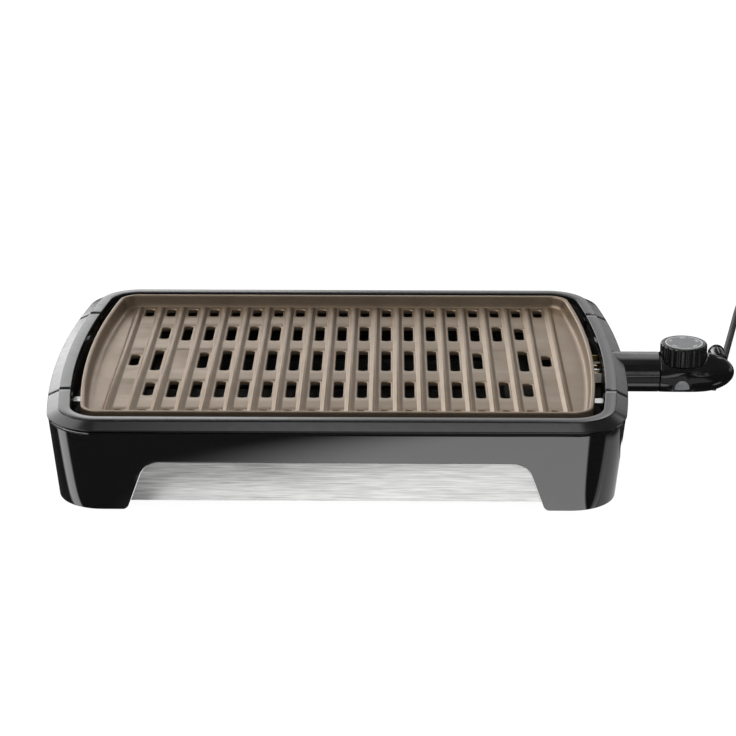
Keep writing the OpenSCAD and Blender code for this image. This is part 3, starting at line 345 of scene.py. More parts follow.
soft_lamp("back_left_lamp", (-0.9, 1.1, 1.5), (-0.05, 0, 0.05), 1.1, 0.8, 20)
soft_lamp("front_lamp", (0.3, -1.75, 1.35), (0, 0, 0.03), 1.6, 1.0, 22)


# ---- Outer wall ----
# One polished black ABS moulding: bowed sides, round corners, and a long arch in front and behind. It leans
# in towards the table, and its four legs end in pads that take the feet.
mm = 0.001
half_w, half_d = 246 * mm, 179 * mm
middle_x = -49 * mm                      # the grill's middle, in the frame shared with its heat control
bow_r, corner_r = 1.0, 45 * mm
quarter = math.pi / 2


def outline(dx, dy=None, bow=bow_r, corner=None):
    """The body seen from above, drawn in by dx at the bowed sides and by dy in front and behind."""
    side_n, corner_n = 24, 14
    dy = dx if dy is None else dy
    r = corner_r - min(dx, dy) if corner is None else corner
    side = bow - dx
    sx, cy = half_w - dx - side, half_d - dy - r
    cx = sx + math.sqrt((side - r) ** 2 - cy * cy)
    a = math.atan2(cy, cx - sx)

    def arc(x, y, radius, start, end, n, last=False):
        return [(x + radius * math.cos(start + (end - start) * i / n),
                 y + radius * math.sin(start + (end - start) * i / n)) for i in range(n + 1 if last else n)]

    points = (arc(sx, 0, side, -a, a, side_n) + arc(cx, cy, r, a, quarter, corner_n, True)
              + arc(-cx, cy, r, quarter, math.pi - a, corner_n)
              + arc(-sx, 0, side, math.pi - a, math.pi + a, side_n)
              + arc(-cx, -cy, r, math.pi + a, 3 * quarter, corner_n, True)
              + arc(cx, -cy, r, 3 * quarter, 4 * quarter - a, corner_n))
    return [(x + middle_x, y) for x, y in points]


def body_line(dx, z, dy=None, **shape):
    """That outline as a ring at height z."""
    return [(x, y, z) for x, y in outline(dx, dy, **shape)]


def leave_edit(doubles=None):
    """Merges what lies closer than doubles, turns the faces outwards and leaves edit mode."""
    bpy.ops.mesh.select_all(action="SELECT")
    if doubles:
        bpy.ops.mesh.remove_doubles(threshold=doubles)
    bpy.ops.mesh.normals_make_consistent(inside=False)
    bpy.ops.object.mode_set(mode="OBJECT")


def named(name):
    """The new object, named, with its place and turn moved into its mesh."""
    obj = bpy.context.object
    obj.name = obj.data.name = name
    bpy.ops.object.transform_apply(location=True, rotation=True, scale=True)
    return obj


def loft(name, rings, ends="capped"):
    """A skin over rings of equally many points: a circle is set on the first ring, then extruded and moved
    onto each next one. Its ends are capped, or joined into a closed loop, or left open."""
    bpy.ops.mesh.primitive_circle_add(vertices=len(rings[0]), radius=1)
    obj = bpy.context.object
    obj.name = obj.data.name = name
    bpy.ops.object.mode_set(mode="EDIT")
    mesh = bmesh.from_edit_mesh(obj.data)
    turn = mesh.verts.layers.int.new("turn")
    for k, vert in enumerate(mesh.verts):
        vert[turn] = k
    if ends == "joined":
        rings = rings + rings[:1]
    for k, ring in enumerate(rings):
        if k:
            bpy.ops.mesh.extrude_edges_indiv()
        elif ends == "capped":
            bpy.ops.mesh.edge_face_add()
        mesh = bmesh.from_edit_mesh(obj.data)
        turn = mesh.verts.layers.int["turn"]
        for vert in mesh.verts:
            if vert.select:
                vert.co = ring[vert[turn]]
    if ends == "capped":
        bpy.ops.mesh.edge_face_add()
    mesh.verts.layers.int.remove(turn)
    leave_edit(None if ends == "capped" else 1e-7)
    return obj


def rounded(points, radii, steps=4):
    """A closed line of points with its corners rounded; radii is one number, or one for each corner."""
    if not isinstance(radii, (list, tuple)):
        radii = [radii] * len(points)
    line = []
    for i, (p, r) in enumerate(zip(points, radii)):
        a, b = points[i - 1], points[(i + 1) % len(points)]
        if r == 0:
            line.append(tuple(p))
            continue
        da, db = math.dist(p, a), math.dist(p, b)
        start = [q + (w - q) * min(r / da, 0.49) for q, w in zip(p, a)]
        end = [q + (w - q) * min(r / db, 0.49) for q, w in zip(p, b)]
        for s in range(steps + 1):
            t = s / steps
            line.append(tuple((1 - t) ** 2 * u + 2 * t * (1 - t) * q + t * t * w
                              for u, q, w in zip(start, p, end)))
    return line


def moulding(name, section, radii=0.0, steps=3):
    """A ring round the body; section lists (inset at the sides, inset in front, height), going round it."""
    line = rounded(section, radii, steps) if radii else section
    return loft(name, [body_line(dx, z, dy) for dx, dy, z in line], "joined")


def prism(name, points, travel):
    """A flat face through points, extruded along travel."""
    bpy.ops.mesh.primitive_circle_add(vertices=len(points), radius=1, fill_type="NGON")
    obj = bpy.context.object
    obj.name = obj.data.name = name
    for vert, point in zip(obj.data.vertices, points):
        vert.co = point
    bpy.ops.object.mode_set(mode="EDIT")
    bpy.ops.mesh.select_all(action="SELECT")
    bpy.ops.mesh.extrude_region_move(TRANSFORM_OT_translate={"value": travel})
    leave_edit()
    return obj


def block(name, low, high):
    """A box from its lowest corner to its highest."""
    bpy.ops.mesh.primitive_cube_add(size=1, location=[(a + b) / 2 for a, b in zip(low, high)],
                                    scale=[b - a for a, b in zip(low, high)])
    return named(name)


def rod(name, start, axis, radius, length, sides=48):
    """A round bar from start along X, Y or Z."""
    turn = {"X": (0, quarter, 0), "Y": (-quarter, 0, 0), "Z": (0, 0, 0)}[axis]
    place = [c + (length / 2 if axis == a else 0) for a, c in zip("XYZ", start)]
    bpy.ops.mesh.primitive_cylinder_add(vertices=sides, radius=radius, depth=length, location=place,
                                        rotation=turn)
    return named(name)


def modify(obj, kind, **settings):
    """Adds a modifier and applies it."""
    pick(obj)
    modifier = obj.modifiers.new(kind.lower(), kind)
    for name, value in settings.items():
        setattr(modifier, name, value)
    bpy.ops.object.modifier_apply(modifier=modifier.name)
    return obj


def cut(obj, *cutters, operation="DIFFERENCE"):
    """Cuts each cutter's shape out of a piece, or joins or keeps it, and removes the cutter."""
    for cutter in cutters:
        modify(obj, "BOOLEAN", object=cutter, operation=operation, solver="EXACT")
        bpy.data.meshes.remove(cutter.data)
    return obj


def soften(obj, width, angle=40, segments=3):
    """Rounds the edges that are sharper than angle, as a mould does."""
    return modify(obj, "BEVEL", width=width, segments=segments, limit_method="ANGLE",
                  angle_limit=math.radians(angle))


def merge(obj, *others):
    pick(obj, *others)
    bpy.ops.object.join()
    return obj


wall_top, wall_bottom, wall_t = 67.7 * mm, 1.2 * mm, 2.6 * mm
rim_base = 70.5 * mm                     # the rim's lower edge
side_lean, front_lean = 6.5 * mm, 4.3 * mm
probe_z = 57.9 * mm                      # the heat control's centre line
nose_hole_r, nose_hole_in = 17.9 * mm, 17 * mm


def wall_line(z, inward=0.0):
    down = (wall_top - z) / (wall_top - wall_bottom)
    return (mm + side_lean * down + inward, mm + front_lean * down + inward, z)


tongue, tongue_back = 2.2 * mm, 3.8 * mm   # the step under the rim leans back, and so it looks black
arch_half, arch_top, arch_r = 142 * mm, 43.6 * mm, 17 * mm
arch_slope, toe_r = math.radians(20), 6 * mm


def arch_line(gap, bottom, toe=False):
    """The arch's outline in x and z, made smaller all round by gap, down to a level bottom edge."""
    zc = arch_top - arch_r

    def bend(x, z, r, start, end, n):
        angles = [start + (end - start) * i / n for i in range(n + 1)]
        return [(x + r * math.cos(a), z + r * math.sin(a)) for a in angles]

    right = bend(arch_half, zc, arch_r - gap, quarter, arch_slope, 14)
    line_x, line_z = arch_half + arch_r * math.cos(arch_slope), zc + arch_r * math.sin(arch_slope)
    if toe:
        toe_z = wall_bottom + toe_r
        toe_x = (line_x + (line_z - toe_z + toe_r * math.sin(arch_slope)) * math.tan(arch_slope)
                 + toe_r * math.cos(arch_slope))
        right += bend(toe_x, toe_z, toe_r, math.pi + arch_slope, 3 * quarter, 8) + [(toe_x, bottom)]
    else:
        right += [(line_x - gap / math.cos(arch_slope) + (line_z - bottom) * math.tan(arch_slope), bottom)]
    return [(middle_x + x, z) for x, z in right] + [(middle_x - x, z) for x, z in reversed(right)]


def nose_bore(name, inward=nose_hole_in):
    """The room for the control's nose, from inward of the right side outwards."""
    return rod(name, (middle_x + half_w - inward, 0, probe_z), "X", nose_hole_r, 40 * mm, 96)


wall = moulding("outer_wall", [
    wall_line(wall_top), (tongue, tongue, wall_top), (tongue_back, tongue_back, rim_base),
    (tongue + 2.4 * mm, tongue + 2.4 * mm, rim_base), wall_line(wall_top - 1 * mm, wall_t),
    wall_line(wall_bottom, wall_t), wall_line(wall_bottom)],
    [0.5 * mm, 0.2 * mm, 0.2 * mm, 0.2 * mm, 0.5 * mm, 0.6 * mm, 0.6 * mm])
for side in (-1, 1):
    face = side * (half_d - 20 * mm)
    arch = arch_line(0, wall_bottom - 2 * mm, toe=True)
    cut(wall, prism("arch", [(x, face, z) for x, z in arch], (0, side * 40 * mm, 0)))
cut(wall, nose_bore("nose_hole"))
pad_line = body_line(8.4 * mm, wall_bottom + 0.1 * mm, 6.2 * mm)
pad_x0, pad_y0, pad_t = half_w - 56 * mm, half_d - 43 * mm, 2.5 * mm     # each pad fills its leg's foot
for sx in (-1, 1):
    for sy in (-1, 1):
        pad = prism("leg_pad", pad_line, (0, 0, pad_t))
        x0, x1 = sorted((middle_x + sx * pad_x0, middle_x + sx * half_w))
        y0, y1 = sorted((sy * pad_y0, sy * half_d))
        cut(pad, block("leg_corner", (x0, y0, -0.01), (x1, y1, 0.01)), operation="INTERSECT")
        wall = merge(wall, pad)
soften(wall, 0.7 * mm, angle=50)

# Polished ABS: a deep black gloss with the faint slow waves of a large moulding
polished_abs, shader = surface("polished_black_abs", Base_Color="#0d0d0e", Roughness=0.07, IOR=1.6,
                               Coat_Weight=1.0, Coat_Roughness=0.05, Coat_IOR=1.6)
vary(shader, "Roughness", noise(shader, 60), (0.3, 0.06), (0.8, 0.12))
roughen(shader, noise(shader, 9, detail=1), 0.05, 0.002)
dress(wall, polished_abs, "base", ("base_shell",), "wall_black", smooth=32)


# ---- Rim and handles ----
# Satin black ABS: a front and a back rim and two handles make one ring, with a thin seam at each of the
# four joints. Each has a flat top, a fine step down to a long chamfer outside it, and a short upright lip.
rim_w, seam_y, seam_gap = 19 * mm, 98 * mm, 2.2 * mm
rim_section = [(d * mm, d * mm, z * mm) for d, z in (
    (0, 70.5), (0, 71.5), (9.5, 75.9), (9.6, 76.8), (19, 76.8), (19, 70.5), (16.6, 70.5), (16.6, 74.4),
    (10.8, 74.0), (3.2, 70.5))]
rim_radii = [r * mm for r in (0.3, 0.9, 0.15, 0.3, 0.9, 0.3, 0.3, 0.4, 0.4, 0.3)]
rim_ring = moulding("rim_ring", rim_section, rim_radii, steps=4)


def part_of_rim(name, planes):
    """The rim between cutting planes; each plane is a y and the side of it that goes."""
    obj = rim_ring.copy()
    obj.data = rim_ring.data.copy()
    obj.name = obj.data.name = name
    bpy.context.collection.objects.link(obj)
    pick(obj)
    bpy.ops.object.mode_set(mode="EDIT")
    for place, normal in planes:
        bpy.ops.mesh.select_all(action="SELECT")
        bpy.ops.mesh.bisect(plane_co=place, plane_no=normal, use_fill=True, clear_outer=True)
    leave_edit()
    return soften(obj, 0.2 * mm, angle=60, segments=2)


rims = {}
for node, side in (("front_rim", -1), ("back_rim", 1)):
    planes = [((0, side * (seam_y + seam_gap / 2), 0), (0, -side, 0))]
    rims[node] = part_of_rim(node + "_moulding", planes)
for node, side in (("left_handle", 1), ("right_handle", -1)):
    planes = [((0, y * (seam_y - seam_gap / 2), 0), (0, y, 0)) for y in (1, -1)]
    rims[node] = part_of_rim(node + "_moulding", planes + [((middle_x, 0, 0), (side, 0, 0))])
bpy.data.meshes.remove(rim_ring.data)
cut(rims["right_handle"], nose_bore("nose_notch"))

# Satin ABS: a fine spark-eroded grain, drawn at 0.5 mm, that spreads the light of a polished edge
satin_abs, shader = surface("satin_black_abs", Base_Color="#1b1b1c", Roughness=0.2, IOR=1.5)
vary(shader, "Roughness", noise(shader, 120), (0.3, 0.17), (0.8, 0.23))
roughen(shader, noise(shader, 2000, detail=2), 0.05, 0.0001)
for node, obj in rims.items():
    dress(obj, satin_abs, "base", (node,), "handle_plastic" if "handle" in node else "rim_plastic", smooth=32)


# ---- Inner frame ----
# A matt black heat-resistant moulding under the rim: an upright wall inside it, and a deck that slopes
# down to the opening over the drip tray.
open_x, open_y, deck_corner = 144 * mm, 153 * mm, 12 * mm
deck_flat, deck_low, frame_z, frame_t = 28 * mm, 38 * mm, 48.6 * mm, 2.2 * mm


def deck_line(widen, z):
    """A ring round the opening, wider by widen: it is straight where the body's sides are bowed."""
    return body_line(half_w - open_x - widen, z, half_d - open_y - min(widen, 5 * mm),
                     bow=60.0, corner=deck_corner)


edge_x, edge_y, _ = wall_line(frame_z, wall_t + 0.1 * mm)
flange = [body_line(edge_x, z, edge_y) for z in (frame_z, frame_z + frame_t)]
deck = loft("inner_frame_moulding", [
    body_line(rim_w, 70.5 * mm), body_line(rim_w, 53.0 * mm), body_line(rim_w + 0.7 * mm, 51.3 * mm),
    body_line(rim_w + 2.2 * mm, frame_z + frame_t - 0.6 * mm),
    deck_line(deck_flat, deck_low + frame_t), deck_line(0, deck_low + frame_t), deck_line(0, deck_low),
    deck_line(deck_flat, deck_low), body_line(rim_w - 1 * mm, frame_z), flange[0], flange[1],
    body_line(rim_w - 2.4 * mm, frame_z + frame_t), body_line(rim_w - 2.4 * mm, 70.5 * mm)], "joined")
back_lip = block("back_lip", (middle_x - open_x, open_y - 1.1 * mm, deck_low - 4.5 * mm),
                 (middle_x + open_x, open_y + 0.4 * mm, deck_low + frame_t))
cut(deck, back_lip, operation="UNION")
cut(deck, block("contact_window", (middle_x + half_w - rim_w - 1 * mm, -16.6 * mm, probe_z - 6.9 * mm),
                (middle_x + half_w - rim_w + 4.4 * mm, 16.6 * mm, probe_z + 8.1 * mm)),
    nose_bore("nose_pocket", 16.8 * mm))
soften(deck, 0.4 * mm, angle=60, segments=2)

# Glass-filled nylon: matt black, with a fine mottle of fibre at the skin
filled_nylon, shader = surface("glass_filled_nylon", Base_Color="#161413", Roughness=0.5, IOR=1.5)
fibre = noise(shader, 400, detail=4)
vary(shader, "Base Color", fibre, (0.3, "#121110"), (0.8, "#201d1a"))
vary(shader, "Roughness", fibre, (0.2, 0.42), (0.8, 0.58))
roughen(shader, fibre, 0.1, 0.0002)
dress(deck, filled_nylon, "base", ("inner_frame",), "frame_black", smooth=32)


# ---- Grill plate ----
# Cast aluminium with a sprayed bronze non-stick coat: a raised lip all round, low ribs from front to back,
# and rows of grease slots between them. The heating element is cast into a band under the floor.
foot_in, floor_z, floor_t = 36 * mm, 67.2 * mm, 4.2 * mm
rib_half, rib_pitch, rib_w, rib_h, rib_crest = 10, 20 * mm, 8 * mm, 3 * mm, 2.4 * mm
end_slope = 2.3                           # how far a rib's end leans in for each mm of its height
slot_w, slot_r = 8 * mm, 3.1 * mm
lip = moulding("grill_plate_casting", [(d * mm, d * mm, z * mm) for d, z in (
    (27.5, 60), (27.5, 77.7), (30.9, 77.7), (32.6, 69.9), (33.9, 67.9), (36, 67.2), (37, 67.2),
    (37, 63), (30, 63), (30, 60))],
    [r * mm for r in (0.4, 1.2, 1.6, 1.6, 0.9, 0.9, 0.01, 0.01, 0.8, 0.4)], steps=4)


def columns():
    """The slots' places: each is its column's x and the y of its two ends."""
    last = 9
    middle = {last: 27, last - 2: 0, last - 3: 40}
    cut_short = {last: 39, last - 1: 4}
    for c in range(-last, last + 1):
        x = middle_x + c * rib_pitch
        m = middle.get(abs(c), 51) * mm
        short = cut_short.get(abs(c), 0) * mm
        if m:
            yield x, -m / 2, m / 2
        for side in (-1, 1):
            yield x, *sorted((side * 119 * mm, side * 139.5 * mm))
            if short < 39 * mm:
                yield x, *sorted((side * (52 * mm + short), side * (91 * mm - short)))


def as_mesh(obj):
    pick(obj)
    bpy.ops.object.convert(target="MESH")
    return bpy.context.object


def flat_sheet(name, loops, low, high, edge):
    """A sheet cut to its first loop, with the other loops as holes, and its edges rounded by edge."""
    obj = curve(name, "2D", [[(x, y, 0) for x, y in loop] for loop in loops], True)
    obj.data.fill_mode = "BOTH"
    obj.data.extrude = (high - low) / 2 - edge
    obj.data.bevel_depth, obj.data.bevel_resolution, obj.data.offset = edge, 2, -edge
    as_mesh(obj).location.z = (low + high) / 2
    obj = named(name)
    bpy.ops.object.mode_set(mode="EDIT")
    leave_edit(1e-6)
    return obj


def slot_loop(x, y0, y1):
    """A grease slot: an oblong with round corners."""
    w, steps = slot_w / 2 - slot_r, 5
    centres = [(x + w, y1 - slot_r), (x - w, y1 - slot_r), (x - w, y0 + slot_r), (x + w, y0 + slot_r)]
    return [(cx + slot_r * math.cos(a), cy + slot_r * math.sin(a)) for q, (cx, cy) in enumerate(centres)
            for a in [quarter * (q + i / steps) for i in range(steps + 1)]]


floor = flat_sheet("plate_floor", [outline(foot_in)] + [slot_loop(*s) for s in columns()],
                   floor_z - floor_t, floor_z, 1.1 * mm)
rib_y = half_d - foot_in + 1 * mm
rib_line = rounded([(-rib_w / 2 - 1.2 * mm, 0, -0.3 * mm), (-rib_w / 2, 0, 0), (-rib_crest / 2, 0, rib_h),
                    (rib_crest / 2, 0, rib_h), (rib_w / 2, 0, 0), (rib_w / 2 + 1.2 * mm, 0, -0.3 * mm)],
                   [0, 1.2 * mm, 0.9 * mm, 0.9 * mm, 1.2 * mm, 0], 3)
ribs = []
for i in range(-rib_half, rib_half):
    x = middle_x + (i + 0.5) * rib_pitch
    rib = prism("rib", [(x + p[0], -rib_y, floor_z + p[2] - 0.02 * mm) for p in rib_line], (0, 2 * rib_y, 0))
    for vert in rib.data.vertices:
        vert.co.y *= 1 - end_slope * max(0.0, vert.co.z - floor_z) / rib_y
    ribs.append(rib)
plate = merge(lip, floor, *ribs)

# Sprayed non-stick: warm bronze with fine bright flakes, drawn at 0.6 mm, and a soft metallic sheen
nonstick, shader = surface("bronze_nonstick_coat", Base_Color="#8c7b6b", Roughness=0.36, Metallic=0.8,
                           IOR=1.5)
flake = noise(shader, 1600, detail=2)
cloud = noise(shader, 45)
vary(shader, "Base Color", (flake + cloud) * 0.5, (0.3, "#827160"), (0.7, "#988774"))
vary(shader, "Roughness", flake, (0.2, 0.33), (0.8, 0.44))
roughen(shader, flake, 0.12, 0.0002)
dress(plate, nonstick, "plate", ("grill_plate",), "nonstick", smooth=35)


# ---- Drip tray ----
# A folded aluminium pan that slides on two rails, with a brushed stainless front that fills the arch.
pan_half, pan_d, pan_z, pan_top, pan_t = 150 * mm, 322 * mm, 9.6 * mm, 36 * mm, 0.8 * mm
pan_front = -half_d + 8.16 * mm


def pan_line(inset, z, r):
    x0, x1 = middle_x - pan_half + inset, middle_x + pan_half - inset
    y0, y1 = pan_front + inset, pan_front + pan_d - inset
    return rounded([(x0, y0, z), (x1, y0, z), (x1, y1, z), (x0, y1, z)], r, 6)


pan = loft("drip_pan_pressing", [pan_line(inset, z, r * mm) for inset, z, r in (
    (pan_t + 2.5 * mm, pan_z + pan_t, 9), (pan_t + 0.8 * mm, pan_z + pan_t + 0.7 * mm, 9.4),
    (pan_t, pan_z + pan_t + 2.5 * mm, 9.6), (pan_t, pan_top, 9.6), (0, pan_top, 10),
    (0, pan_z + 2.5 * mm, 10), (0.8 * mm, pan_z + 0.7 * mm, 9.8), (2.5 * mm, pan_z, 9))])
for sx in (-1, 1):
    x0, x1 = sorted((middle_x + sx * (pan_half - pan_t / 2), middle_x + sx * (pan_half + 4.6 * mm)))
    flange = block("flange", (x0, pan_front + 8 * mm, pan_top - pan_t),
                   (x1, pan_front + pan_d - 8 * mm, pan_top))
    pan = merge(pan, soften(flange, 0.3 * mm, segments=2))

# Rolled aluminium: long faint rolling lines and a dull, slightly cloudy shine
rolled, shader = surface("rolled_aluminium", Base_Color="#6f7272", Metallic=1.0, Roughness=0.36)
lines = noise(shader, 60, detail=4, stretch=(1, 30, 1))
vary(shader, "Roughness", lines, (0.25, 0.28), (0.8, 0.46))
vary(shader, "Base Color", noise(shader, 20), (0.3, "#6a6d6d"), (0.8, "#7a7c7b"))
roughen(shader, lines, 0.06, 0.0003)
dress(pan, rolled, "tray", ("drip_pan",), "pan_steel", smooth=35)

front_gap, front_t = 0.5 * mm, 1.2 * mm
front_low = pan_z - 0.4 * mm
face_y = -half_d + wall_line(front_low)[1] + 0.6 * mm
tilt = front_lean / (wall_top - wall_bottom)
face = [(x, face_y + (z - front_low) * -tilt, z) for x, z in arch_line(front_gap, front_low)]
front = soften(prism("tray_front_plate", face, (0, front_t, 0)), 0.35 * mm, angle=50, segments=2)
finger_lip = block("finger_lip", (middle_x - pan_half, face_y + front_t - 0.2 * mm, front_low),
                   (middle_x + pan_half, face_y + 7 * mm, front_low + 0.4 * mm))
front = merge(front, soften(finger_lip, 0.12 * mm, segments=2))
for x in (-120, -40, 40, 120):
    tab = block("weld_tab", (middle_x + (x - 6) * mm, face_y + front_t / 2, pan_z + 6 * mm),
                (middle_x + (x + 6) * mm, pan_front - 0.05 * mm, pan_z + 18 * mm))
    front = merge(front, soften(tab, 0.2 * mm, segments=2))

# Brushed stainless: level hairlines a few centimetres long, drawn 1 mm apart, that smear the light sideways
brushed, shader = surface("brushed_stainless", Base_Color="#dadad8", Metallic=0.5, Roughness=0.42)
hair = noise(shader, 900, stretch=(0.035, 1, 1))
coarse = noise(shader, 520, detail=2, stretch=(0.09, 1, 1))
both = hair * 0.68 + coarse * 0.32
vary(shader, "Base Color", both, (0.3, "#b4b4b3"), (0.52, "#dcdcdb"), (0.7, "#f8f8f7"))
vary(shader, "Roughness", both, (0.3, 0.36), (0.7, 0.52))
roughen(shader, hair, 0.15, 0.0002)
dress(front, brushed, "tray", ("tray_front",), "front_steel", smooth=35)


# ---- Heat control ----
# A plug-in thermostat in one black phenolic housing: a round nose that slides into the body, a head with a
# rounded end, an arched pad for the indicator in front, and a boss for the cord behind.
nose_x0, nose_x1 = middle_x + 229.6 * mm, middle_x + 277.6 * mm
head_x0, head_x1, head_x2 = middle_x + 278 * mm, middle_x + 312 * mm, middle_x + 344 * mm
nose_r, head_r, shell_t = 17.5 * mm, 17.6 * mm, 2.2 * mm
dial_x, dial_clear, deck_z = middle_x + 299 * mm, 20.9 * mm, 68 * mm
pad_x, pad_r, pad_top, pad_arch_r = middle_x + 297 * mm, 18.3 * mm, 63.2 * mm, 43 * mm
cord_x, cord_z = middle_x + 331.5 * mm, 66.5 * mm
lens_w, lens_h, lens_z = 6.5 * mm, 8.3 * mm, 47.5 * mm


def turned(name, line, centre, axis="X", sides=96, ends="capped"):
    """A turned piece: line lists (distance along the axis, radius)."""
    rings = []
    angles = [2 * math.pi * i / sides for i in range(sides)]
    for along, r in line:
        rings.append([[centre[0] + math.cos(a) * r, centre[1] + math.sin(a) * r] for a in angles])
        for point in rings[-1]:
            point.insert("XYZ".index(axis), along)
    return loft(name, rings, ends)


def quarter_round(x, r, end, start=0.0):
    """A dome from a cylinder of radius r, out to x + end; start leaves a flat at its tip."""
    return [(x + end * math.sin(a), r * math.cos(a) + start) for a in [math.pi / 28 * i for i in range(15)]]


sleeve = turned("nose_sleeve_moulding", [
    (nose_x0 + 0.5 * mm, nose_r), (nose_x1 - 0.5 * mm, nose_r), (nose_x1, nose_r - 0.5 * mm),
    (nose_x1, head_r - shell_t - 0.2 * mm), (nose_x1 + 3.9 * mm, head_r - shell_t - 0.2 * mm),
    (nose_x1 + 3.9 * mm, head_r - shell_t - 2 * mm), (nose_x1 - 3 * mm, head_r - shell_t - 2 * mm),
    (nose_x1 - 3 * mm, nose_r - shell_t), (nose_x0 + 0.3 * mm, nose_r - shell_t),
    (nose_x0, nose_r - shell_t + 0.3 * mm), (nose_x0, nose_r - 0.5 * mm)], (0, probe_z), ends="joined")
cut(sleeve, block("dial_room", (nose_x1, -30 * mm, deck_z - shell_t - 0.3 * mm),
                  (nose_x1 + 10 * mm, 30 * mm, 0.1)))

dome = quarter_round(head_x1, head_r - 0.2 * mm, head_x2 - head_x1, 0.2 * mm)
head = turned("heat_control_head", [(head_x0, head_r - 0.8 * mm), (head_x0 + 0.25 * mm, head_r - 0.25 * mm),
                                    (head_x0 + 0.8 * mm, head_r)] + dome, (0, probe_z))
cut(head, rod("dial_recess", (dial_x, 0, deck_z), "Z", dial_clear, 40 * mm, 128))

front_pad = rod("front_pad", (pad_x, 0, 30 * mm), "Z", pad_r, 60 * mm, 128)
cut(front_pad, rod("pad_arch", (pad_x, -40 * mm, pad_top - pad_arch_r), "Y", pad_arch_r, 40 * mm, 192),
    prism("pad_foot", [(pad_x - pad_r - mm, y, z) for y, z in (
        (-6 * mm, probe_z - 16.5 * mm), (-19.3 * mm, probe_z - 11.8 * mm), (-19.3 * mm, pad_top + mm),
        (-6 * mm, pad_top + mm))], (2 * pad_r + 2 * mm, 0, 0)),
    block("pad_room", (head_x0, -pad_r - mm, 0), (head_x2, 0, 0.1)), operation="INTERSECT")
soften(front_pad, 0.8 * mm, angle=35)
boss = turned("cord_boss", [(y * mm, r * mm) for y, r in (
    (6, 6.6), (24.1, 6.6), (24.5, 6.9), (24.8, 7.4), (26.5, 7.4), (27, 6.9), (27, 4.5), (24, 4.5))],
    (cord_x, cord_z), "Y", 64)
cut(head, front_pad, boss, operation="UNION")


def window(y, gap=0.0):
    """The indicator's half-round outline, made wider all round by gap."""
    return [(pad_x - (lens_w + gap) * math.cos(math.pi * i / 24), y,
             lens_z - gap + (lens_h + 2 * gap) * math.sin(math.pi * i / 24)) for i in range(25)]


joint = block("joint_line", (head_x0 - mm, -30 * mm, 45.4 * mm), (head_x2 + mm, 30 * mm, 45.6 * mm))
groove = turned("joint_groove", [(head_x0 + 1.5 * mm, head_r - 0.3 * mm)]
                + quarter_round(head_x1, head_r - 0.3 * mm, head_x2 - head_x1 - 0.3 * mm), (0, probe_z))
cut(joint, groove)
cut(head, prism("lens_hole", window(-8 * mm, 0.15 * mm), (0, -30 * mm, 0)), joint)
soften(head, 0.5 * mm, angle=50, segments=2)

# Phenolic: jet black with a polished mould's gloss and a trace of flow marbling
phenolic, shader = surface("black_phenolic", Base_Color="#111112", Roughness=0.13, IOR=1.6)
flow = noise(shader, 70)
vary(shader, "Roughness", flow, (0.3, 0.11), (0.8, 0.19))
roughen(shader, flow, 0.05, 0.0006)
dress(sleeve, phenolic, "probe", ("nose_sleeve",), "control_black", smooth=32)
dress(head, phenolic, "probe", ("head_upper", "head_bottom"), "control_black", smooth=32)

# The indicator: a smoked acrylic window in the shape of a low dome, with a neon lamp behind it
lens = prism("indicator_window", window(-13.5 * mm), (0, -4.8 * mm, 0))
cut(lens, rod("pad_skin", (pad_x, 0, 30 * mm), "Z", pad_r - 0.15 * mm, 60 * mm, 128), operation="INTERSECT")
soften(lens, 0.35 * mm)
smoked, shader = surface("smoked_acrylic", Base_Color="#dcdee0", Roughness=0.2, IOR=1.49)
vary(shader, "Base Color", noise(shader, 250), (0.3, "#7d7f81"), (0.8, "#989a9c"))
dress(lens, smoked, "probe", ("indicator_lens",), "lens", smooth=32)


# ---- Dial ----
# A fluted black knob on the control's shaft. A grey printed disc lies in its top, with a white ring and the
# temperatures in small white figures.
dial_r, dial_low, dial_top, flutes = 20.4 * mm, 68.6 * mm, 84.95 * mm, 22
face_r, face_t = 16.8 * mm, 1.0 * mm
flute_r, flute_at = 1.8 * mm, dial_r + 0.9 * mm
ring_r, figure_r, figure_h = 15.7 * mm, 12.2 * mm, 3.6 * mm
tick_r0, tick_r1, tick_half, ink_t = 14.2 * mm, 15.3 * mm, 0.12 * mm, 0.04 * mm
first_mark, mark_span = math.radians(225), math.radians(270)


def knob_line(limit, z):
    """A ring of the knob: round, with a scallop at each flute, and nowhere wider than limit."""
    ring = []
    sides = flutes * 16
    for i in range(sides):
        a = 2 * math.pi * i / sides
        off = (a * flutes / (2 * math.pi) - 0.5) % 1.0
        off = min(off, 1.0 - off) * 2 * math.pi / flutes
        root = flute_r ** 2 - (flute_at * math.sin(off)) ** 2
        r = min(limit, flute_at * math.cos(off) - math.sqrt(root)) if root > 0 else limit
        ring.append((dial_x + r * math.cos(a), r * math.sin(a), z))
    return ring


top_round = [(dial_r - 1.9 * mm * (1 - math.cos(a)), dial_top - 2.4 * mm * (1 - math.sin(a)))
             for a in [quarter * t / 6 for t in range(7)]]
knob = loft("dial_knob_moulding", [knob_line(r, z) for r, z in [
    (5.6 * mm, dial_low + 0.4 * mm), (5.6 * mm, dial_top - 4 * mm), (dial_r - 3 * mm, dial_top - 4 * mm),
    (dial_r - 3 * mm, dial_low), (dial_r - 0.5 * mm, dial_low), (dial_r, dial_low + 0.5 * mm), *top_round,
    (face_r + 0.5 * mm, dial_top), (face_r + 0.1 * mm, dial_top - 0.4 * mm),
    (face_r + 0.1 * mm, dial_top - face_t)]])
knob_black, shader = surface("black_urea_knob", Base_Color="#171718", Roughness=0.25, IOR=1.55)
grain = noise(shader, 900)
vary(shader, "Roughness", grain, (0.3, 0.2), (0.8, 0.33))
roughen(shader, grain, 0.06, 0.0001)
dress(knob, knob_black, "dial", ("dial_knob",), "dial_black", smooth=38)

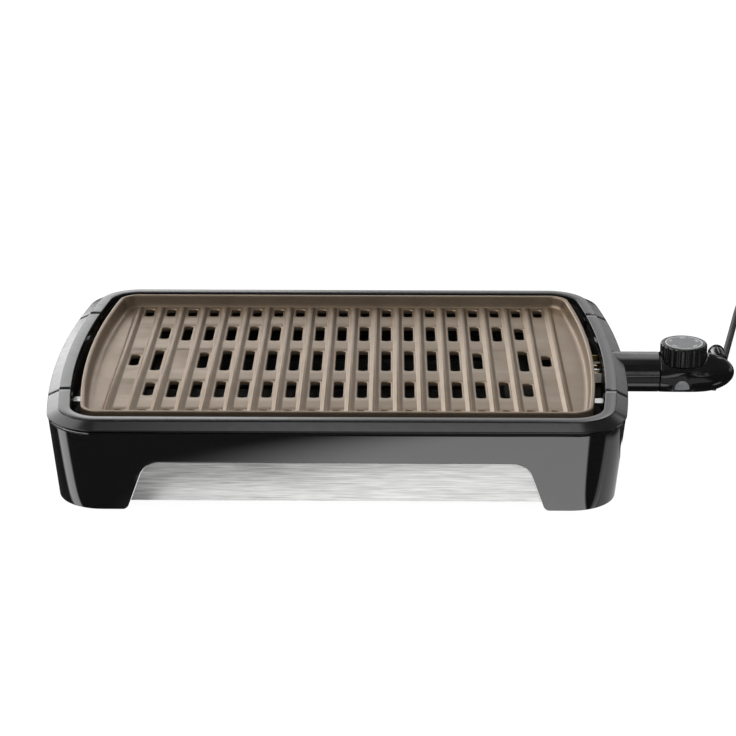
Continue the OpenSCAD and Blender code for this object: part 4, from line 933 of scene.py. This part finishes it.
disc = turned("dial_face_disc", [(dial_top - face_t, face_r), (dial_top - 0.15 * mm, face_r),
                                 (dial_top, face_r - 0.15 * mm)], (dial_x, 0), "Z", 128)
# Silk-screened aluminium foil: a satin grey with a printed white ring, 0.5 mm wide, near its edge
printed, shader = surface("printed_grey_foil", Base_Color="#6c6d70", Roughness=0.36, IOR=1.5)
foil = vary(shader, "Base Color", noise(shader, 300), (0.3, "#66676a"), (0.8, "#737477"))
tree = shader.id_data
centred = add(tree, "ShaderNodeMapping", {"Vector": add(tree, "ShaderNodeTexCoord").outputs["Object"],
                                          "Location": (-dial_x, 0, -dial_top)}).outputs["Vector"]
radius = Value(add(tree, "ShaderNodeVectorMath", {0: centred}, operation="LENGTH").outputs["Value"])
ring_ink = (radius - ring_r).maths("ABSOLUTE").rise(0.34 * mm, 0.26 * mm)
inked = add(tree, "ShaderNodeMix", {"Factor": ring_ink, "A": foil, "B": "#e9e9e9"}, data_type="RGBA")
tree.links.new(inked.outputs["Result"], shader.inputs["Base Color"])
dress(disc, printed, "dial", ("dial_face",), "dial_grey", smooth=32)

figures = []
for step, figure in enumerate(("200", "250", "300", "350", "400")):
    angle = first_mark - mark_span * step / 4
    bpy.ops.object.text_add()
    text = bpy.context.object.data
    text.body, text.size, text.extrude = figure, figure_h, ink_t / 2
    text.align_x = text.align_y = "CENTER"
    obj = as_mesh(bpy.context.object)
    obj.rotation_euler.z = angle - quarter
    obj.location = (dial_x + figure_r * math.cos(angle), figure_r * math.sin(angle), dial_top + ink_t / 2)
    figures.append(named("figure"))
for step in range(21):
    tick = block("tick", (tick_r0, -tick_half, 0), (tick_r1, tick_half, ink_t))
    tick.rotation_euler.z = first_mark - mark_span * step / 20
    tick.location = (dial_x, 0, dial_top)
    figures.append(named("tick"))
figures = merge(*figures)
figures.name = "dial_figures"
# Screen ink: flat white, thin enough to let a little of the grey through
white_ink, shader = surface("white_screen_ink", Base_Color="#e4e4e4", Roughness=0.5)
vary(shader, "Base Color", noise(shader, 1500), (0.3, "#d2d2d2"), (0.6, "#ececec"))
dress(figures, white_ink, "dial", (), "dial_grey")


# ---- Cord relief, tie and plug ----
# A stepped PVC sleeve eases the cord out of its boss and turns it down. The spare cord's coil has a nylon
# tie round it, and the moulded two-blade plug lies beside it.
relief_line = [(cord_x, 0.020, 0.0665), (cord_x, 0.0272, 0.0665), (0.2826, 0.030, 0.0662),
               (0.2829, 0.034, 0.0646), (0.2835, 0.038, 0.0616), (0.2844, 0.042, 0.0574), relief_end]
sleeve_line = eased(relief_line, 8)
start, length = 16, len(sleeve_line) - 1
sleeve_radii = []
for i in range(len(sleeve_line)):
    along = max(0, i - start) / (length - start)
    step = 0.0 if i < start else 0.45 * mm * (1 if (i - start) % 8 in (2, 3, 4, 5, 6) else -0.4)
    sleeve_radii.append(4.3 * mm if i < start else (5.2 - 1.3 * along) * mm + step * (1 - 0.5 * along))
relief = as_mesh(tube("cord_relief_sleeve", sleeve_line, sleeve_radii, 10))

soft_pvc, shader = surface("moulded_soft_pvc", Base_Color="#131314", Roughness=0.38, IOR=1.5)
vary(shader, "Roughness", noise(shader, 350), (0.3, 0.32), (0.8, 0.46))
roughen(shader, noise(shader, 1100), 0.1, 0.0002)
dress(relief, soft_pvc, "probe", ("cord_relief",), "cord", smooth=40)

plug_x, plug_z, plug_front = 0.4346, 0.0076, 0.307


def plug_line(y, w, h, r):
    x0, x1, z0, z1 = plug_x - w, plug_x + w, plug_z - h, plug_z + h
    return rounded([(x0, y, z0), (x1, y, z0), (x1, y, z1), (x0, y, z1)], r, 6)


body_front = [(0.0, 10.3, 6.3), (0.6, 11.1, 7.1), (1.4, 11.5, 7.5), (9.0, 11.5, 7.5), (12.0, 10.4, 7.3),
              (15.0, 9.4, 7.0), (18.0, 10.2, 7.2), (21.0, 11.2, 7.4), (25.0, 11.5, 7.5), (27.0, 10.9, 7.2),
              (28.0, 9.4, 6.6), (28.3, 5.8, 5.8), (32.0, 5.2, 5.2), (36.6, 4.3, 4.3)]
plug = loft("mains_plug", [plug_line(plug_front + y * mm, w * mm, h * mm, min(h, 5.7) * mm * 0.98)
                           for y, w, h in body_front])
dress(plug, soft_pvc, "probe", ("plug_body",), "cord", smooth=35)


# ---- CAD pieces that stay ----
# Small steel, brass, rubber and ceramic parts that are fitted inside and below. Each keeps its CAD shape.
def plain(name, light, dark, rough, scale, metal):
    """Plated or drawn metal, or a moulded insulator: its colour and shine vary over a few millimetres."""
    mat, shader = surface(name, Base_Color=light, Metallic=float(metal), Roughness=rough)
    patch = noise(shader, scale, detail=3 if metal else 4)
    vary(shader, "Base Color", patch, (0.3, dark), (0.7, light))
    vary(shader, "Roughness", patch, (0.3, rough - (0.06 if metal else 0.08)), (0.7, rough + 0.08))
    if not metal:
        roughen(shader, patch, 0.1, 0.0002)
    return mat


for metal, kind, light, dark, rough, scale, *names in (
        (True, "nickel_plated_steel", "#d6d6d4", "#b9b9b6", 0.24, 160, "plate_rests", "rest_screws",
         "rim_screws", "rail_screws", "bracket_screws", "head_screws"),
        (True, "black_zinc_steel", "#3a3a3c", "#242426", 0.42, 140, "tray_rails", "seam_clips"),
        (False, "foot_rubber", "#2a2a2a", "#1c1c1c", 0.75, 500, "rubber_feet"),
        (True, "heater_sheath", "#56524e", "#3a3734", 0.5, 120, "heating_element"),
        (False, "steatite_ceramic", "#e8e4da", "#d9d3c6", 0.6, 300, "end_seals", "thermostat_stack",
         "contact_block"),
        (True, "nickel_pin", "#c4c6c8", "#a8aaac", 0.22, 200, "terminal_pins", "sensor_rod", "dial_shaft",
         "shaft_clip"),
        (True, "yellow_chromate_zinc", "#b39a55", "#94804a", 0.35, 110, "terminal_bracket"),
        (True, "contact_brass", "#c9a75a", "#a98a45", 0.27, 180, "contact_forks", "plug_blades"),
        (True, "bimetal_strip", "#b3a07a", "#94845f", 0.32, 150, "bimetal_blade"),
        (False, "silicone_lead", "#8a3430", "#742b27", 0.55, 300, "supply_leads"),
        (False, "neon_glass", "#e0a070", "#c98a5c", 0.3, 200, "indicator_lamp"),
        (False, "nylon_tie", "#2a2a2b", "#1e1e1f", 0.45, 260, "cord_tie")):
    mat = plain(kind, light, dark, rough, scale, metal)
    for name in names:
        nodes[name].data.materials.clear()
        nodes[name].data.materials.append(mat)
